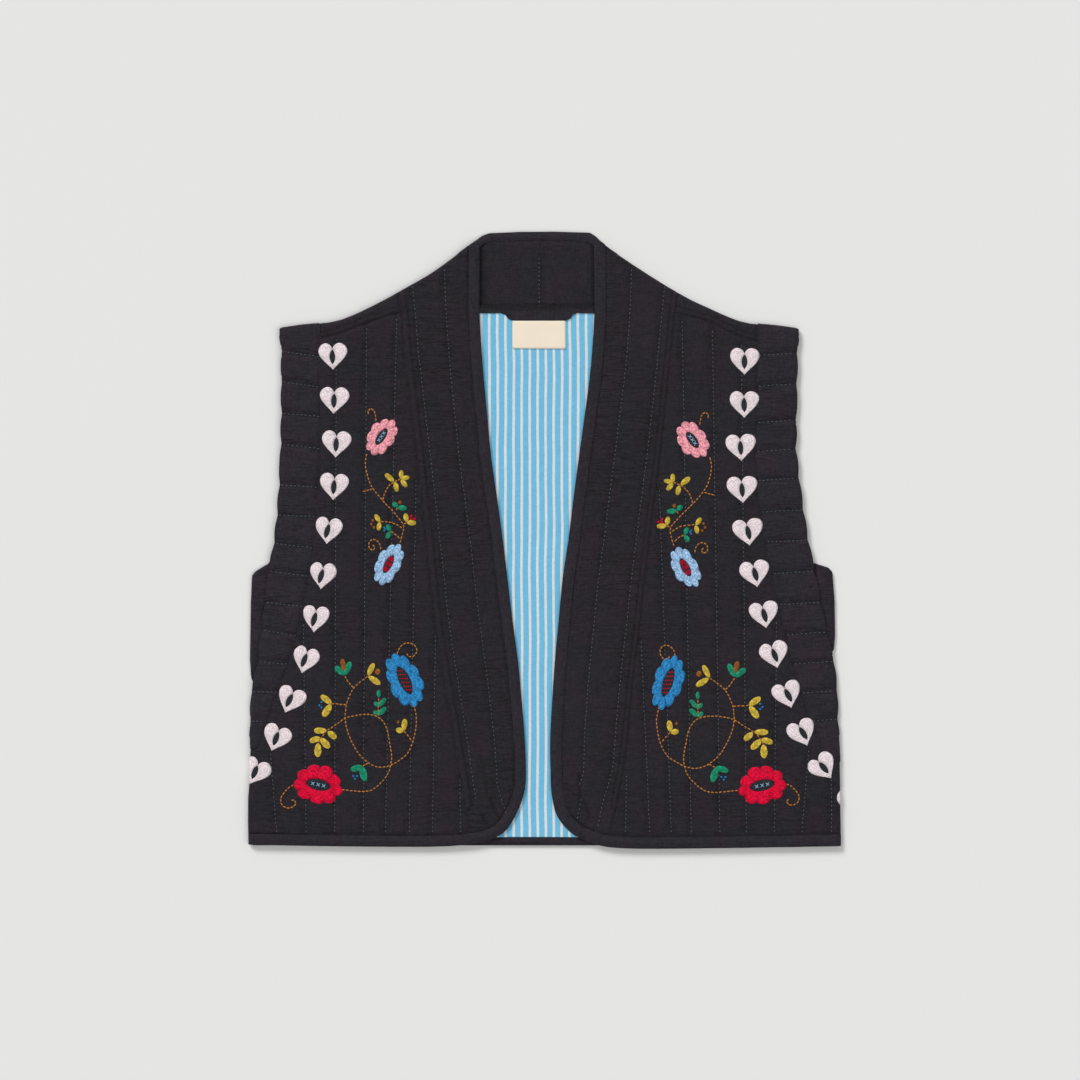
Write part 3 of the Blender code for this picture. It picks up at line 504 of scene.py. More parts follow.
def add(tree, kind, inputs=None, output=0, **settings):
    """Add a node with its settings, link or set its inputs, and return one of its outputs."""
    node = tree.nodes.new("ShaderNode" + kind)
    for name, value in settings.items():
        setattr(node, name, value)
    for name, value in (inputs or {}).items():
        if isinstance(value, bpy.types.NodeSocket):
            tree.links.new(value, node.inputs[name])
        else:
            node.inputs[name].default_value = value
    return node.outputs[output]


def calc(tree, operation, *values):
    """The result of a sum on numbers or sockets."""
    return add(tree, "Math", dict(enumerate(values)), operation=operation)


def remap(tree, value, low, high, to_low, to_high, **settings):
    """A value moved from one range to another and held within it."""
    return add(tree, "MapRange", {0: value, 1: low, 2: high, 3: to_low, 4: to_high}, **settings)


def grain(tree, place, scale, detail, **inputs):
    """Soft noise."""
    return add(tree, "TexNoise", {"Vector": place, "Scale": scale, "Detail": detail, **inputs})


def blend(tree, share, first, second):
    """A mix of two colours."""
    return add(tree, "Mix", {0: share, 6: first, 7: second}, 2, data_type="RGBA")


def toned(tree, colour, level):
    """A colour made lighter or darker."""
    return add(tree, "VectorMath", {0: colour, "Scale": level}, operation="SCALE")


def stretched(tree, place, turn, scale):
    """A place turned about Z and scaled."""
    return add(tree, "Mapping", {0: place, 2: (0.0, 0.0, turn), 3: scale})


def bump(tree, height, distance, strength, under=None, **settings):
    """A fine relief, on top of the one under it."""
    inputs = {"Height": height, "Distance": distance, "Strength": strength}
    if under is not None:
        inputs["Normal"] = under
    return add(tree, "Bump", inputs, **settings)


def weave(tree, place, pitch):
    """Height of a plain weave: over-and-under threads at a pitch in metres."""
    threads = []
    for axis in (0, 1):
        across = add(tree, "SeparateXYZ", {0: place}, axis)
        threads.append(calc(tree, "SINE", calc(tree, "MULTIPLY", across, math.pi / pitch)))
    return calc(tree, "MULTIPLY", *threads)


def new_material(name, roughness, sheen, specular=0.25):
    """A material with only its Principled shader, its node tree, and its place in the object."""
    material = bpy.data.materials.new(name)
    material.use_nodes = True
    inputs = material.node_tree.nodes["Principled BSDF"].inputs
    inputs["Roughness"].default_value = roughness
    inputs["IOR"].default_value = 1.5
    inputs["Specular IOR Level"].default_value = specular
    inputs["Sheen Weight"].default_value = sheen
    inputs["Sheen Roughness"].default_value = 0.5
    place = add(material.node_tree, "TexCoord", output="Object")
    return material, material.node_tree, place


def dress(material, colour, relief=None):
    """Link a colour and a fine relief to a material's shader."""
    links = material.node_tree.links
    inputs = material.node_tree.nodes["Principled BSDF"].inputs
    links.new(colour, inputs["Base Color"])
    if relief is not None:
        links.new(relief, inputs["Normal"])
    return material


def quilted_cotton(name, base, crease_turn, crease_depth):
    """Washed, yarn-dyed charcoal cotton quilted over thin wadding.

    Two thread colours that cross give soft reddish and greenish patches, slubs show as short
    streaks along both thread directions, and washing leaves short creases across the quilting. The
    real weave is about 0.4 mm, too fine for the picture, so it is drawn at 1.2 mm. The attribute
    pucker says how strongly the cloth creases at a point, and the creases get painted shade. An
    attribute of painted shade says how much the colour is darkened in seams, at rims, along the
    quilting and beside folds and creases.
    """
    material, tree, place = new_material(name, 0.92, 0.1)
    sheen = tree.nodes["Principled BSDF"].inputs["Sheen Tint"]
    sheen.default_value = linear("#6A6470")
    patch = remap(tree, grain(tree, place, 34.0, 3.0, Roughness=0.55), 0.4, 0.6, 0.0, 1.0)
    two_threads = blend(tree, patch, chosen("quilt_cool"), chosen("quilt_warm"))
    body = blend(tree, 0.42, chosen(base), two_threads)
    slubs = [grain(tree, stretched(tree, place, 0.0, scale), 1.0, 2.0)
             for scale in ((820.0, 190.0, 100.0), (190.0, 820.0, 100.0))]
    slub = calc(tree, "ADD", *slubs)
    crease = grain(tree, stretched(tree, place, crease_turn, (34.0, 205.0, 50.0)), 1.0, 2.0,
                   Roughness=0.5, Distortion=0.12)
    away = calc(tree, "ABSOLUTE", calc(tree, "SUBTRACT", crease, 0.5))
    line = remap(tree, away, 0.0, 0.06, 1.0, 0.0, interpolation_type="SMOOTHSTEP")
    pucker = add(tree, "Attribute", output="Fac", attribute_name="pucker")
    hollow = add(tree, "Attribute", output="Fac", attribute_name="hollow")
    furrow = calc(tree, "MULTIPLY", line, pucker)
    # Painted shade: the colour is darkened along the creases and by the attribute of painted shade.
    depth = calc(tree, "MULTIPLY_ADD", furrow, 0.36, hollow)
    level = calc(tree, "MULTIPLY", remap(tree, slub, 0.75, 1.25, 0.7, 1.34),
                 remap(tree, depth, 0.0, 1.0, 1.0, 0.4))
    creased = bump(tree, furrow, crease_depth, 0.9, invert=True)
    slubbed = bump(tree, slub, 0.0006, 0.7, creased)
    woven = bump(tree, weave(tree, place, 0.0012), 0.00025, 0.6, slubbed)
    return dress(material, toned(tree, body, level), woven)


def striped_cotton(name):
    """Light blue plain-woven lining with narrow white stripes, yarn-dyed and a little wavy."""
    material, tree, place = new_material(name, 0.85, 0.1)
    shift = calc(tree, "MULTIPLY_ADD", grain(tree, place, 14.0, 1.0), 0.0028, STRIPE_START * MM)
    across = calc(tree, "ADD", add(tree, "SeparateXYZ", {0: place}), shift)
    within = calc(tree, "FRACT", calc(tree, "DIVIDE", across, STRIPE_PITCH * MM))
    middle = calc(tree, "ABSOLUTE", calc(tree, "SUBTRACT", within, 0.5))
    half = 0.5 * STRIPE_WIDTH / STRIPE_PITCH
    white = remap(tree, middle, half - 0.03, half + 0.03, 1.0, 0.0)
    level = remap(tree, grain(tree, place, 420.0, 3.0), 0.3, 0.7, 0.93, 1.05)
    creased = bump(tree, grain(tree, place, 60.0, 2.0), 0.003, 0.35)
    woven = bump(tree, weave(tree, place, 0.0009), 0.0001, 0.4, creased)
    colour = blend(tree, white, chosen("lining"), chosen("stripe"))
    return dress(material, toned(tree, colour, level), woven)


def label_tape(name):
    """Cream cotton tape, woven in a fine diagonal twill, so it looks smooth with a faint slant."""
    material, tree, place = new_material(name, 0.8, 0.1)
    colour = blend(tree, grain(tree, place, 90.0, 2.0), linear("#EBDEC7"), chosen("label"))
    twill = add(tree, "TexWave", {"Vector": stretched(tree, place, 0.8, (1.0, 1.0, 1.0)),
                                  "Scale": 260.0})
    return dress(material, colour, bump(tree, twill, 0.0001, 0.4))


def floss(name, colour, shade):
    """Stranded embroidery cotton, laid in close rows of small chain stitches.

    Mercerised thread gives a soft gloss. Each stitch is painted lighter on its back and darker
    towards
    its edges: painted highlight and painted shade. The real rows are about 1 mm apart, too fine for
    the picture, so the stitches are drawn 3 mm long and 1.6 mm wide, along the edge of each shape.
    An attribute holds the painted shade in the crease between two petals.
    """
    material, tree, _ = new_material(name, 0.62, 0.0, 0.12)
    place = stretched(tree, add(tree, "UVMap", uv_map="thread"), 0.0, (0.34, 0.62, 1.0))
    stitch = add(tree, "TexVoronoi", {"Vector": place, "Scale": 1.0, "Randomness": 0.75})
    gap = remap(tree, stitch, 0.3, 0.75, 1.0, 0.0)
    hollow = add(tree, "Attribute", output="Fac", attribute_name="hollow")
    # Painted highlight on the back of each stitch, painted shade towards its edges and in a petal's
    # crease.
    tone = calc(tree, "MULTIPLY", remap(tree, gap, 0.0, 1.0, shade, 1.16),
                remap(tree, hollow, 0.0, 1.0, 1.0, 0.35))
    return dress(material, toned(tree, chosen(colour)[:3], tone), bump(tree, gap, 0.0005, 0.8))


def twisted_thread(name, colour):
    """Twisted cotton sewing thread, matt, with a slight change of tone along its length."""
    material, tree, place = new_material(name, 0.7, 0.05)
    cloud = grain(tree, place, 700.0, 1.0)
    tone = remap(tree, cloud, 0.3, 0.7, 0.7, 1.1)
    return dress(material, toned(tree, chosen(colour)[:3], tone), bump(tree, cloud, 0.0003, 0.5))


def make_materials():
    """Make every cloth and thread once."""
    for key, name, base, turn, depth in (
            ("quilt", "washed charcoal quilted cotton", "quilt", 0.0, 0.0013),
            ("neck", "charcoal quilted cotton of the neck", "quilt", math.pi / 2, 0.0007),
            ("armhole", "charcoal quilted cotton, cut crosswise", "panel", math.pi / 2, 0.0013),
            ("binding", "charcoal cotton bias binding", "binding", 0.8, 0.0008)):
        materials[key] = quilted_cotton(name, base, turn, depth)
    materials["lining"] = striped_cotton("light blue striped cotton lining")
    materials["label"] = label_tape("cream twill tape")
    materials["running"] = twisted_thread("grey-teal quilting thread", "running_thread")
    materials["stem"] = twisted_thread("golden brown embroidery thread", "stem")
    for colour in ("rose_white", "slate", "pink", "pale_blue", "blue", "red", "yellow", "green",
                   "brown"):
        # How dark the painted shade towards the edges of each stitch is.
        shade = 0.78 if colour == "rose_white" else 0.54
        materials[colour] = floss(f"{colour.replace('_', ' ')} embroidery cotton", colour, shade)


def smooth_line(points, step):
    """Points at even steps along a smooth curve through the given points."""
    points = [Vector(point) for point in points]
    dense = []
    last = len(points) - 1
    for index in range(last):
        start = points[index]
        end = points[index + 1]
        lead_in = (end - points[max(index - 1, 0)]) / 6
        lead_out = (points[min(index + 2, last)] - start) / 6
        for part in range(12):
            t = part / 12
            dense.append((1 - t) ** 3 * start + 3 * (1 - t) ** 2 * t * (start + lead_in)
                         + 3 * (1 - t) * t * t * (end - lead_out) + t ** 3 * end)
    dense.append(points[-1])
    length = sum((b - a).length for a, b in zip(dense, dense[1:]))
    count = max(1, round(length / step))
    even = []
    walked = 0.0
    for a, b in zip(dense, dense[1:]):
        span = (b - a).length
        while span > 0 and len(even) * length / count <= walked + span + 1e-6:
            even.append(a.lerp(b, min(1.0, (len(even) * length / count - walked) / span)))
        walked += span
    return even


def distance_along(point, line):
    """Distance in plan from a point to a line, and how far along the line its foot lies."""
    nearest = (float("inf"), 0.0)
    walked = 0.0
    for a, b in zip(line, line[1:]):
        course = b - a
        share = min(max((point - a).dot(course) / course.length_squared, 0.0), 1.0)
        gap = (point - a - course * share).length
        if gap < nearest[0]:
            nearest = (gap, walked + share * course.length)
        walked += course.length
    return nearest


def quilting_lines(piece):
    """The lines of quilting on a piece of cloth, as lists of plan points in millimetres."""
    side = "left" if piece.endswith("left") else "right"
    if piece == "neck_band":
        lines = [NECK_QUILTING]
    elif piece.startswith("front_band"):
        lines = []
        for part, foot in zip(BAND_QUILTING, BAND_QUILTING_FEET[side]):
            line = []
            for level, opening, seam in FRONT_ROWS[side][:-1]:
                if level > SHOULDER_LEVEL:
                    seam = SEAM_TOP[side]
                inner = opening - INWARD[side] * BINDING_WIDTH
                line.append((seam + (inner - seam) * part, level))
            lines.append([*line, *foot])
        if side == "right":
            lines.append(BAND_LAST_ROW)
    elif piece.startswith("armhole_front"):
        lines = [((row[1], row[0]), (row[3], row[2])) for row in ARMHOLE_ROWS[side]]
    elif piece in ("front_left", "front_right"):
        lines = [((x, y), (foot, QUILTING_FOOT)) for x, y, foot in FRONT_QUILTING[side]]
    else:
        lines = []
    return [[Vector(point) for point in line] for line in lines]


def slice_up(mesh, faces, axis, low, high, step):
    """Cut faces by parallel planes at a step, halving the stretch each time."""
    count = round((high - low) / step)
    if count < 2 or not faces:
        return
    middle = low + (high - low) * (count // 2) / count
    edges = {edge for face in faces for edge in face.edges}
    verts = {vert for face in faces for vert in face.verts}
    place = [0.0, 0.0, 0.0]
    course = [0.0, 0.0, 0.0]
    place[axis] = middle
    course[axis] = 1.0
    cut = bmesh.ops.bisect_plane(mesh, geom=[*verts, *edges, *faces], dist=1e-6, plane_co=place,
                                 plane_no=course)
    below = []
    above = []
    for item in cut["geom"]:
        if isinstance(item, bmesh.types.BMFace):
            (below if item.calc_center_median()[axis] < middle else above).append(item)
    slice_up(mesh, below, axis, low, middle, step)
    slice_up(mesh, above, axis, middle, high, step)


def bell(gap, half):
    """A soft hump: 1 in its middle, and almost 0 two half widths away."""
    return math.exp(-(gap / half) ** 2)


def soft_relief(piece, point, lines, seam):
    """How far the upper skin stands off its solid at a plan point, in millimetres.

    Also returns how strongly the cloth puckers there and how much painted shade it gets: along the
    quilting, in a seam's groove and beside folds and creases.
    """
    rise = 0.0
    pucker = PUCKERS.get(piece.rsplit("_", 1)[0], 0.3)
    hollow = 0.0
    for number, line in enumerate(lines):
        gap, run = distance_along(point, line)
        if gap < PUCKER_REACH * 2:
            place = Vector((run / PUCKER_LENGTH, gap / 24.0, number * 9.1 + len(piece)))
            rise -= QUILTING_DIP * bell(gap, QUILTING_DIP_WIDTH)
            rise += PUCKER_HEIGHT * noise.noise(place) * bell(gap, PUCKER_REACH)
            pucker = max(pucker, QUILTING_PUCKER * bell(gap, PUCKER_REACH))
            # Painted shade along the line of quilting.
            hollow = max(hollow, QUILTING_SHADE[0] * bell(gap, QUILTING_SHADE[1]))
    wide, small, patch = (
        noise.noise(Vector((point.x / long_x, point.y / long_y, len(piece) * seed)))
        for long_x, long_y, seed in ((*WIDE_WAVE[1:], 3.3), (*SMALL_WAVE[1:], 5.7),
                                     (*CREASE_PATCH, 1.9)))
    rise += WIDE_WAVE[0] * wide + SMALL_WAVE[0] * small * pucker
    pucker *= min(max(0.85 + 0.8 * patch, 0.3), 1.15)
    for x0, y0, x1, y1, half, height in FOLDS.get(piece, ()):
        ends = [Vector((x0, y0)), Vector((x1, y1))]
        gap, run = distance_along(point, ends)
        share = min(max(run / (ends[1] - ends[0]).length, 0.06), 0.94)
        rise += height * bell(gap, half) * math.sin(math.pi * share)
    # Painted shade beside folds and creases.
    for x0, y0, x1, y1, half, depth in SHADES.get(piece, ()):
        gap = distance_along(point, [Vector((x0, y0)), Vector((x1, y1))])[0]
        hollow = max(hollow, depth * bell(gap, half))
    if seam:
        depth, half, groove_shade = GROOVE
        gap = distance_along(point, seam)[0]
        groove = bell(gap - SEAM_RIDGE_WIDTH - 0.6, half)
        rise += SEAM_RIDGE * bell(gap - SEAM_RIDGE_WIDTH / 2 - 0.2, 1.7) - depth * groove
        # Painted shade in the groove.
        hollow = max(hollow, groove_shade * groove)
        if gap < SEAM_RIDGE_WIDTH:
            pucker *= 0.3
    return rise, pucker, hollow


def scallop(point, lines):
    """How far the armhole's edge swells out between two lines of quilting, from 0 to 1."""
    gap = min(abs(point.y - line[-1].y) for line in lines)
    past = SCALLOP_REACH * 2
    inside = lines[-1][-1].y - past < point.y < lines[0][-1].y + past
    return 1.0 - bell(gap, SCALLOP_REACH) if inside else 0.5


def stretch_top(mesh, node, length, rise):
    """Draw a shell's upper end out a little, so that it tucks under the piece above."""
    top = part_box(node)[1].y
    for vert in mesh.verts:
        share = (vert.co.y - top + length * MM) / (length * MM)
        if share > 0:
            vert.co.y += rise * MM * share * share


def cloth_piece(node, material, steps, amount, smooth):
    """A soft shell on a copy of a cut piece's solid: cut fine, smoothed, and given its relief."""
    mesh = bmesh.new()
    mesh.from_mesh(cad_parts[node].data)
    bmesh.ops.remove_doubles(mesh, verts=mesh.verts[:], dist=1e-6)
    low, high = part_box(node)
    for axis, step in enumerate(steps):
        slice_up(mesh, mesh.faces[:], axis, low[axis], high[axis], step * MM)
    mesh.normal_update()
    rim = set()
    for edge in mesh.edges:
        if len(edge.link_faces) == 2 and edge.calc_face_angle(0.0) > RIM_ANGLE:
            rim.update(edge.verts)
    inner = [vert for vert in mesh.verts if vert not in rim]
    for _ in range(smooth):
        bmesh.ops.smooth_vert(mesh, verts=inner, factor=0.5, use_axis_z=True)
    lines = quilting_lines(node)
    side = "left" if node.endswith("left") else "right"
    seam = None
    if node.startswith("front_band"):
        seam = [Vector((x, level)) for level, _, x in FRONT_ROWS[side]]
    elif node.startswith("shoulder_yoke"):
        seam = [Vector(point) for point in SHOULDER_SEAM[side]]
    mesh.normal_update()
    pucker_layer = mesh.verts.layers.float.new("pucker")
    painted_shade_layer = mesh.verts.layers.float.new("hollow")
    moves = []
    for vert in mesh.verts:
        rise, pucker, hollow = soft_relief(node, vert.co.xy / MM, lines, seam)
        # A rim stays on its solid and gets painted shade.
        if vert in rim:
            rise = 0.0
            hollow = RIM_PAINTED_SHADE
        vert[pucker_layer] = pucker
        vert[painted_shade_layer] = hollow
        lift = min(1.0, max(0.0, (vert.normal.z - 0.45) / 0.4))
        out = max(0.0, 1.0 - abs(vert.normal.z)) * vert.normal.xy * SWELL
        if node.startswith("armhole_front") and out.x * INWARD[side] < 0:
            out *= 1.0 + SCALLOP * scallop(vert.co.xy / MM, lines)
        moves.append((vert, Vector((out.x, out.y, rise * lift * amount)) * MM))
    for vert, move in moves:
        vert.co += move
    if node.startswith(("front_band", "binding_front")):
        stretch_top(mesh, node, *BAND_TUCK)
    if node == "neck_facing":
        stretch_top(mesh, node, *FACING_TUCK)
        bmesh.ops.scale(mesh, vec=(FACING_WIDENING, 1.0, 1.0), verts=mesh.verts[:],
                        space=Matrix.Translation((-(low.x + high.x) / 2, 0.0, 0.0)))
    bmesh.ops.triangulate(mesh, faces=mesh.faces[:])
    piece = new_piece(f"cloth_{node}", mesh, material)
    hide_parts(node)
    return piece


def new_piece(name, mesh, material):
    """Put a mesh into the scene as a named piece that rides with the vest."""
    data = bpy.data.meshes.new(name)
    mesh.to_mesh(data)
    mesh.free()
    data.shade_smooth()
    data.set_sharp_from_angle(angle=math.radians(70.0))
    data.materials.append(materials[material])
    piece = bpy.data.objects.new(name, data)
    bpy.context.scene.collection.objects.link(piece)
    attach(piece, "root")
    return piece


def declare_sheet(piece):
    """Measure a piece's width and length and about the area of one skin; nothing uses them."""
    low = Vector([min(vert.co[axis] for vert in piece.data.vertices) for axis in range(3)])
    high = Vector([max(vert.co[axis] for vert in piece.data.vertices) for axis in range(3)])
    area = 0.5 * sum(face.area for face in piece.data.polygons)
    width, length = high.x - low.x, high.y - low.y
    area = min(max(area, 0.3 * width * length), width * length)


def gather_surface(pieces):
    """One tree of all the upper cloth, which the stitching is laid on."""
    mesh = bmesh.new()
    for piece in pieces:
        mesh.from_mesh(piece.data)
    surface["tree"] = BVHTree.FromBMesh(mesh)
    mesh.free()


def cloth_height(x, y, reach=0.0):
    """Height of the upper cloth at a plan point in metres, or None past its edge.

    With a reach it is the highest cloth so near, so that thread doesn't drop into a seam.
    """
    if "tree" not in surface:
        raise RuntimeError("The cloth has to be made before the sewing")
    places = [(0.0, 0.0)]
    if reach:
        places += [(reach, 0.0), (-reach, 0.0), (0.0, reach), (0.0, -reach)]
    heights = []
    for dx, dy in places:
        hit = surface["tree"].ray_cast(Vector((x + dx, y + dy, SKY)), Vector((0.0, 0.0, -1.0)))
        if hit[0]:
            heights.append(hit[0].z)
    return max(heights) if heights else None


def lay_on(mesh, side=None):
    """Set a flat piece of sewing down on the cloth, and round the side fold where it goes past.

    A height above 0 in the piece stands off the cloth, and one below 0 is sunk into it.
    """
    limit = (FOLD_X - BEND_BEFORE) * MM
    for vert in mesh.verts:
        x, y, lift = vert.co
        past = 0.0
        if side and abs(x) > limit:
            past = abs(x) - limit
            x = math.copysign(limit, x)
        height = cloth_height(x, y, SEWING_REACH * MM if side else 0.0)
        if height is None:
            height = HEIGHT_PAST_EDGE * MM
        vert.co = Vector((x, y, height + lift))
        if past > 0:
            bend = min(past / (BEND_LENGTH * MM), 1.0)
            out = BEND_OUT * MM * math.sin(bend * math.pi / 2) + max(lift, 0.0) * 0.5
            down = max(height + lift * (1 - bend) - past, LEAST_HEIGHT * MM)
            vert.co = Vector((x + math.copysign(out, x), y, down))


def sewn_ring(outer, inner, count, rings, height, cusps=None):
    """A raised, closed patch of stitching between two closed outlines, in millimetres.

    It is a grid rolled round from the inner outline to the outer one. Its UV map gives the way
    along the outline and the distance from it, in millimetres, which the rows of stitches follow.
    Cusps gives how near a turn is to the crease between two petals, from 0 to 1. The crease is sunk
    and gets painted shade.
    """
    mesh = bmesh.new()
    thread = mesh.loops.layers.uv.new("thread")
    hollow = mesh.verts.layers.float.new("hollow")
    bmesh.ops.create_grid(mesh, x_segments=count, y_segments=rings, size=0.5)
    for vert in mesh.verts:
        turn = 2 * math.pi * (vert.co.x + 0.5)
        share = vert.co.y + 0.5
        vert.co = Vector((turn, share, 0.0))
    run = [0.0]
    for step in range(count):
        a = outer(2 * math.pi * step / count)
        b = outer(2 * math.pi * (step + 1) / count)
        run.append(run[-1] + (b - a).length)
    for face in mesh.faces:
        for loop in face.loops:
            turn, share = loop.vert.co.xy
            width = (outer(turn) - inner(turn)).length
            loop[thread].uv = (run[round(turn / (2 * math.pi) * count)], (1 - share) * width)
    for vert in mesh.verts:
        turn, share = vert.co.xy
        point = inner(turn).lerp(outer(turn), share)
        width = (outer(turn) - inner(turn)).length
        edge = min(share, 1 - share) * width
        dome = math.sin(min(edge / PATCH_EDGE, 1.0) * math.pi / 2)
        row = ROW_HEIGHT * math.cos(2 * math.pi * (1 - share) * width / ROW_PITCH)
        deep = cusps(turn) * max(0.0, (share - CREASE_START) / (1 - CREASE_START)) if cusps else 0.0
        lift = (height + row - deep * height * CREASE_DEPTH) * dome - PATCH_SUNK * (1 - dome)
        vert.co = Vector((point.x, point.y, lift))
        # Painted shade in the crease between two petals.
        vert[hollow] = deep * CREASE_DEPTH
    bmesh.ops.remove_doubles(mesh, verts=mesh.verts[:], dist=1e-4)
    close_below(mesh)
    return mesh


def close_below(mesh, depth=0.5):
    """Give an open patch a plain underside, so that it is closed all round."""
    made = bmesh.ops.extrude_face_region(mesh, geom=mesh.faces[:], use_keep_orig=True)
    for item in made["geom"]:
        if isinstance(item, bmesh.types.BMVert):
            item.co.z = -depth
    bmesh.ops.recalc_face_normals(mesh, faces=mesh.faces[:])
    if mesh.calc_volume(signed=True) < 0:
        bmesh.ops.reverse_faces(mesh, faces=mesh.faces[:])


def join(target, mesh):
    """Move all of a mesh into the target."""
    part = bpy.data.meshes.new("part")
    mesh.to_mesh(part)
    mesh.free()
    target.from_mesh(part)
    bpy.data.meshes.remove(part)


def placed(point, turn, size):
    """The matrix that sizes a shape, turns it and moves it to a plan point, all in millimetres."""
    return (Matrix.Translation((point.x * MM, point.y * MM, 0.0)) @ Matrix.Rotation(turn, 4, "Z")
            @ Matrix.Diagonal((size[0] * MM, size[1] * MM, size[2] * MM, 1.0)))


def place_mesh(target, mesh, point, turn, mirror=1.0):
    """Turn a patch in millimetres, move it to its place in metres and join it to the target."""
    bmesh.ops.transform(mesh, matrix=placed(point, turn, (mirror, 1.0, 1.0)), verts=mesh.verts[:])
    if mirror < 0:
        bmesh.ops.reverse_faces(mesh, faces=mesh.faces[:])
    join(target, mesh)


def stitch_line(target, line, pitch, length, width, height, wobble, seed):
    """Add a row of small stitches along a line of plan points in millimetres."""
    spread = random.Random(seed)
    points = smooth_line(line, pitch)
    mesh = bmesh.new()
    for a, b in zip(points, points[1:]):
        if cloth_height(a.x * MM, a.y * MM) is None or cloth_height(b.x * MM, b.y * MM) is None:
            continue
        course = b - a
        aside = Vector((-course.y, course.x)).normalized() * spread.uniform(-wobble, wobble)
        turn = math.atan2(course.y, course.x) + spread.uniform(-wobble, wobble) * 0.4
        size = (length / 2 * spread.uniform(0.9, 1.1), width / 2, height)
        bmesh.ops.create_icosphere(mesh, subdivisions=1, radius=1.0,
                                   matrix=placed((a + b) / 2 + aside, turn, size))
    join(target, mesh)


def sprig_place(sprig, side, x, y):
    """A point of a sprig on one side of the vest, in plan millimetres."""
    start_x, start_y, wide, tall = SPRIGS[sprig][side]
    return Vector((start_x + INWARD[side] * x * wide, start_y + y * tall))


def heart_outline(turn, width, lean):
    """A rounded heart about its middle, point down, with one lobe a little larger."""
    fullness = 3.0 if math.cos(turn) > 0 else 2.2
    x = math.copysign(abs(math.sin(turn)) ** fullness, math.sin(turn))
    y = 13 * math.cos(turn) - 5 * math.cos(2 * turn) - 2 * math.cos(3 * turn) - math.cos(4 * turn)
    wobble = 0.25 * math.sin(5 * turn + 40 * lean)
    return Vector((x * (width / 2 + wobble) * (1 + math.copysign(lean, x)),
                   (y + 1.6) / 29 * HEART_HEIGHT + wobble * abs(x)))


def slit_outline(turn, aside):
    """The slit in the middle of a heart, pointed at both ends, and its foot moved to the side."""
    share = 0.5 - math.cos(turn) / 2
    x = math.sin(turn) * abs(math.sin(turn)) ** 0.5 * SLIT_WIDTH / 2
    return Vector((x + aside * share, math.cos(turn) * SLIT_HEIGHT / 2 - 1.2))


def slit_middle(turn, aside):
    """The short line in the middle of a slit."""
    return Vector((aside * 0.5, math.cos(turn) * 3.0 - 1.2))


def oval(half_length, half_width):
    """An oval outline with slightly pointed ends."""
    def outline(turn):
        side = math.sin(turn) * abs(math.sin(turn)) ** 0.15
        return Vector((math.cos(turn) * half_length, side * half_width))
    return outline


def petals(half_length, half_width, count, shift):
    """A scalloped oval: round, slightly uneven petals with a crease between each pair."""
    def outline(turn):
        lobe = abs(math.cos(count * turn / 2 + shift))
        uneven = 0.03 * math.sin(3 * turn + count + shift) + 0.02 * math.sin(5 * turn + 2 * shift)
        reach = 0.86 + 0.16 * lobe ** 0.7 + uneven
        return Vector((math.cos(turn) * half_length * reach, math.sin(turn) * half_width * reach))
    return outline


def petal_creases(count, shift):
    """How near a turn is to the crease between two petals, from 0 to 1."""
    return lambda turn: (1.0 - abs(math.cos(count * turn / 2 + shift))) ** 3


def solid_patch(outline, count, height):
    """A closed, filled patch: the ring down to a small closed middle."""
    return sewn_ring(outline, lambda turn: outline(turn) * 0.02, count, 5, height)


def make_leaf(length, width, height):
    """A leaf of satin stitch: a blunt, slightly domed pad along +X with a stitched edge."""
    mesh = bmesh.new()
    bmesh.ops.create_icosphere(mesh, subdivisions=3, radius=1.0)
    thread = mesh.loops.layers.uv.new("thread")
    for vert in mesh.verts:
        x, y, z = vert.co
        taper = (1.0 - 0.32 * max(0.0, -x) ** 2) * (1.0 + 0.3 * x ** 4)
        stitches = 1.0 + 0.07 * math.sin((x + 1.0) * length * math.pi / LEAF_STITCH)
        vert.co = Vector((x * length / 2 + length / 2, y * width / 2 * 1.1 * taper * stitches,
                          z * height * (0.85 + 0.15 * stitches)))
    for face in mesh.faces:
        for loop in face.loops:
            x, y, _ = loop.vert.co
            loop[thread].uv = (x * 1.7 + abs(y) * 1.2, y * 0.3)
    return mesh


class VestSizes(bpy.types.PropertyGroup):
    """Sizes of the sewing that a user would change."""

    quilting_pitch: FloatProperty(
        name="Quilting pitch", description="From one running stitch to the next", default=0.004,
        min=0.001, unit="LENGTH")
    quilting_stitch: FloatProperty(
        name="Quilting stitch", description="Length of the thread that shows", default=0.0021,
        min=0.0005, unit="LENGTH")
    stem_pitch: FloatProperty(
        name="Stem pitch", description="From one stem stitch to the next", default=0.0037,
        min=0.001, unit="LENGTH")
    embroidery_height: FloatProperty(
        name="Embroidery height", description="How far the embroidery stands off the cloth",
        default=0.0007, min=0.0001, unit="LENGTH")
    camera_lens: FloatProperty(
        name="Lens", description="Focal length of the camera in millimetres", default=100.0,
        min=20.0)


class VestColours(bpy.types.PropertyGroup):
    """Colours of the cloths, the threads and the stage that a user would change."""

    __annotations__ = {
        key: FloatVectorProperty(name=key.replace("_", " ").capitalize(), description=use,
                                 subtype="COLOR", size=4, default=linear(code), min=0.0, max=1.0)
        for key, (code, use) in COLOURS.items()}
    key_strength: FloatProperty(
        name="Light", description="Strength of the soft main light", default=2.15, min=0.0)


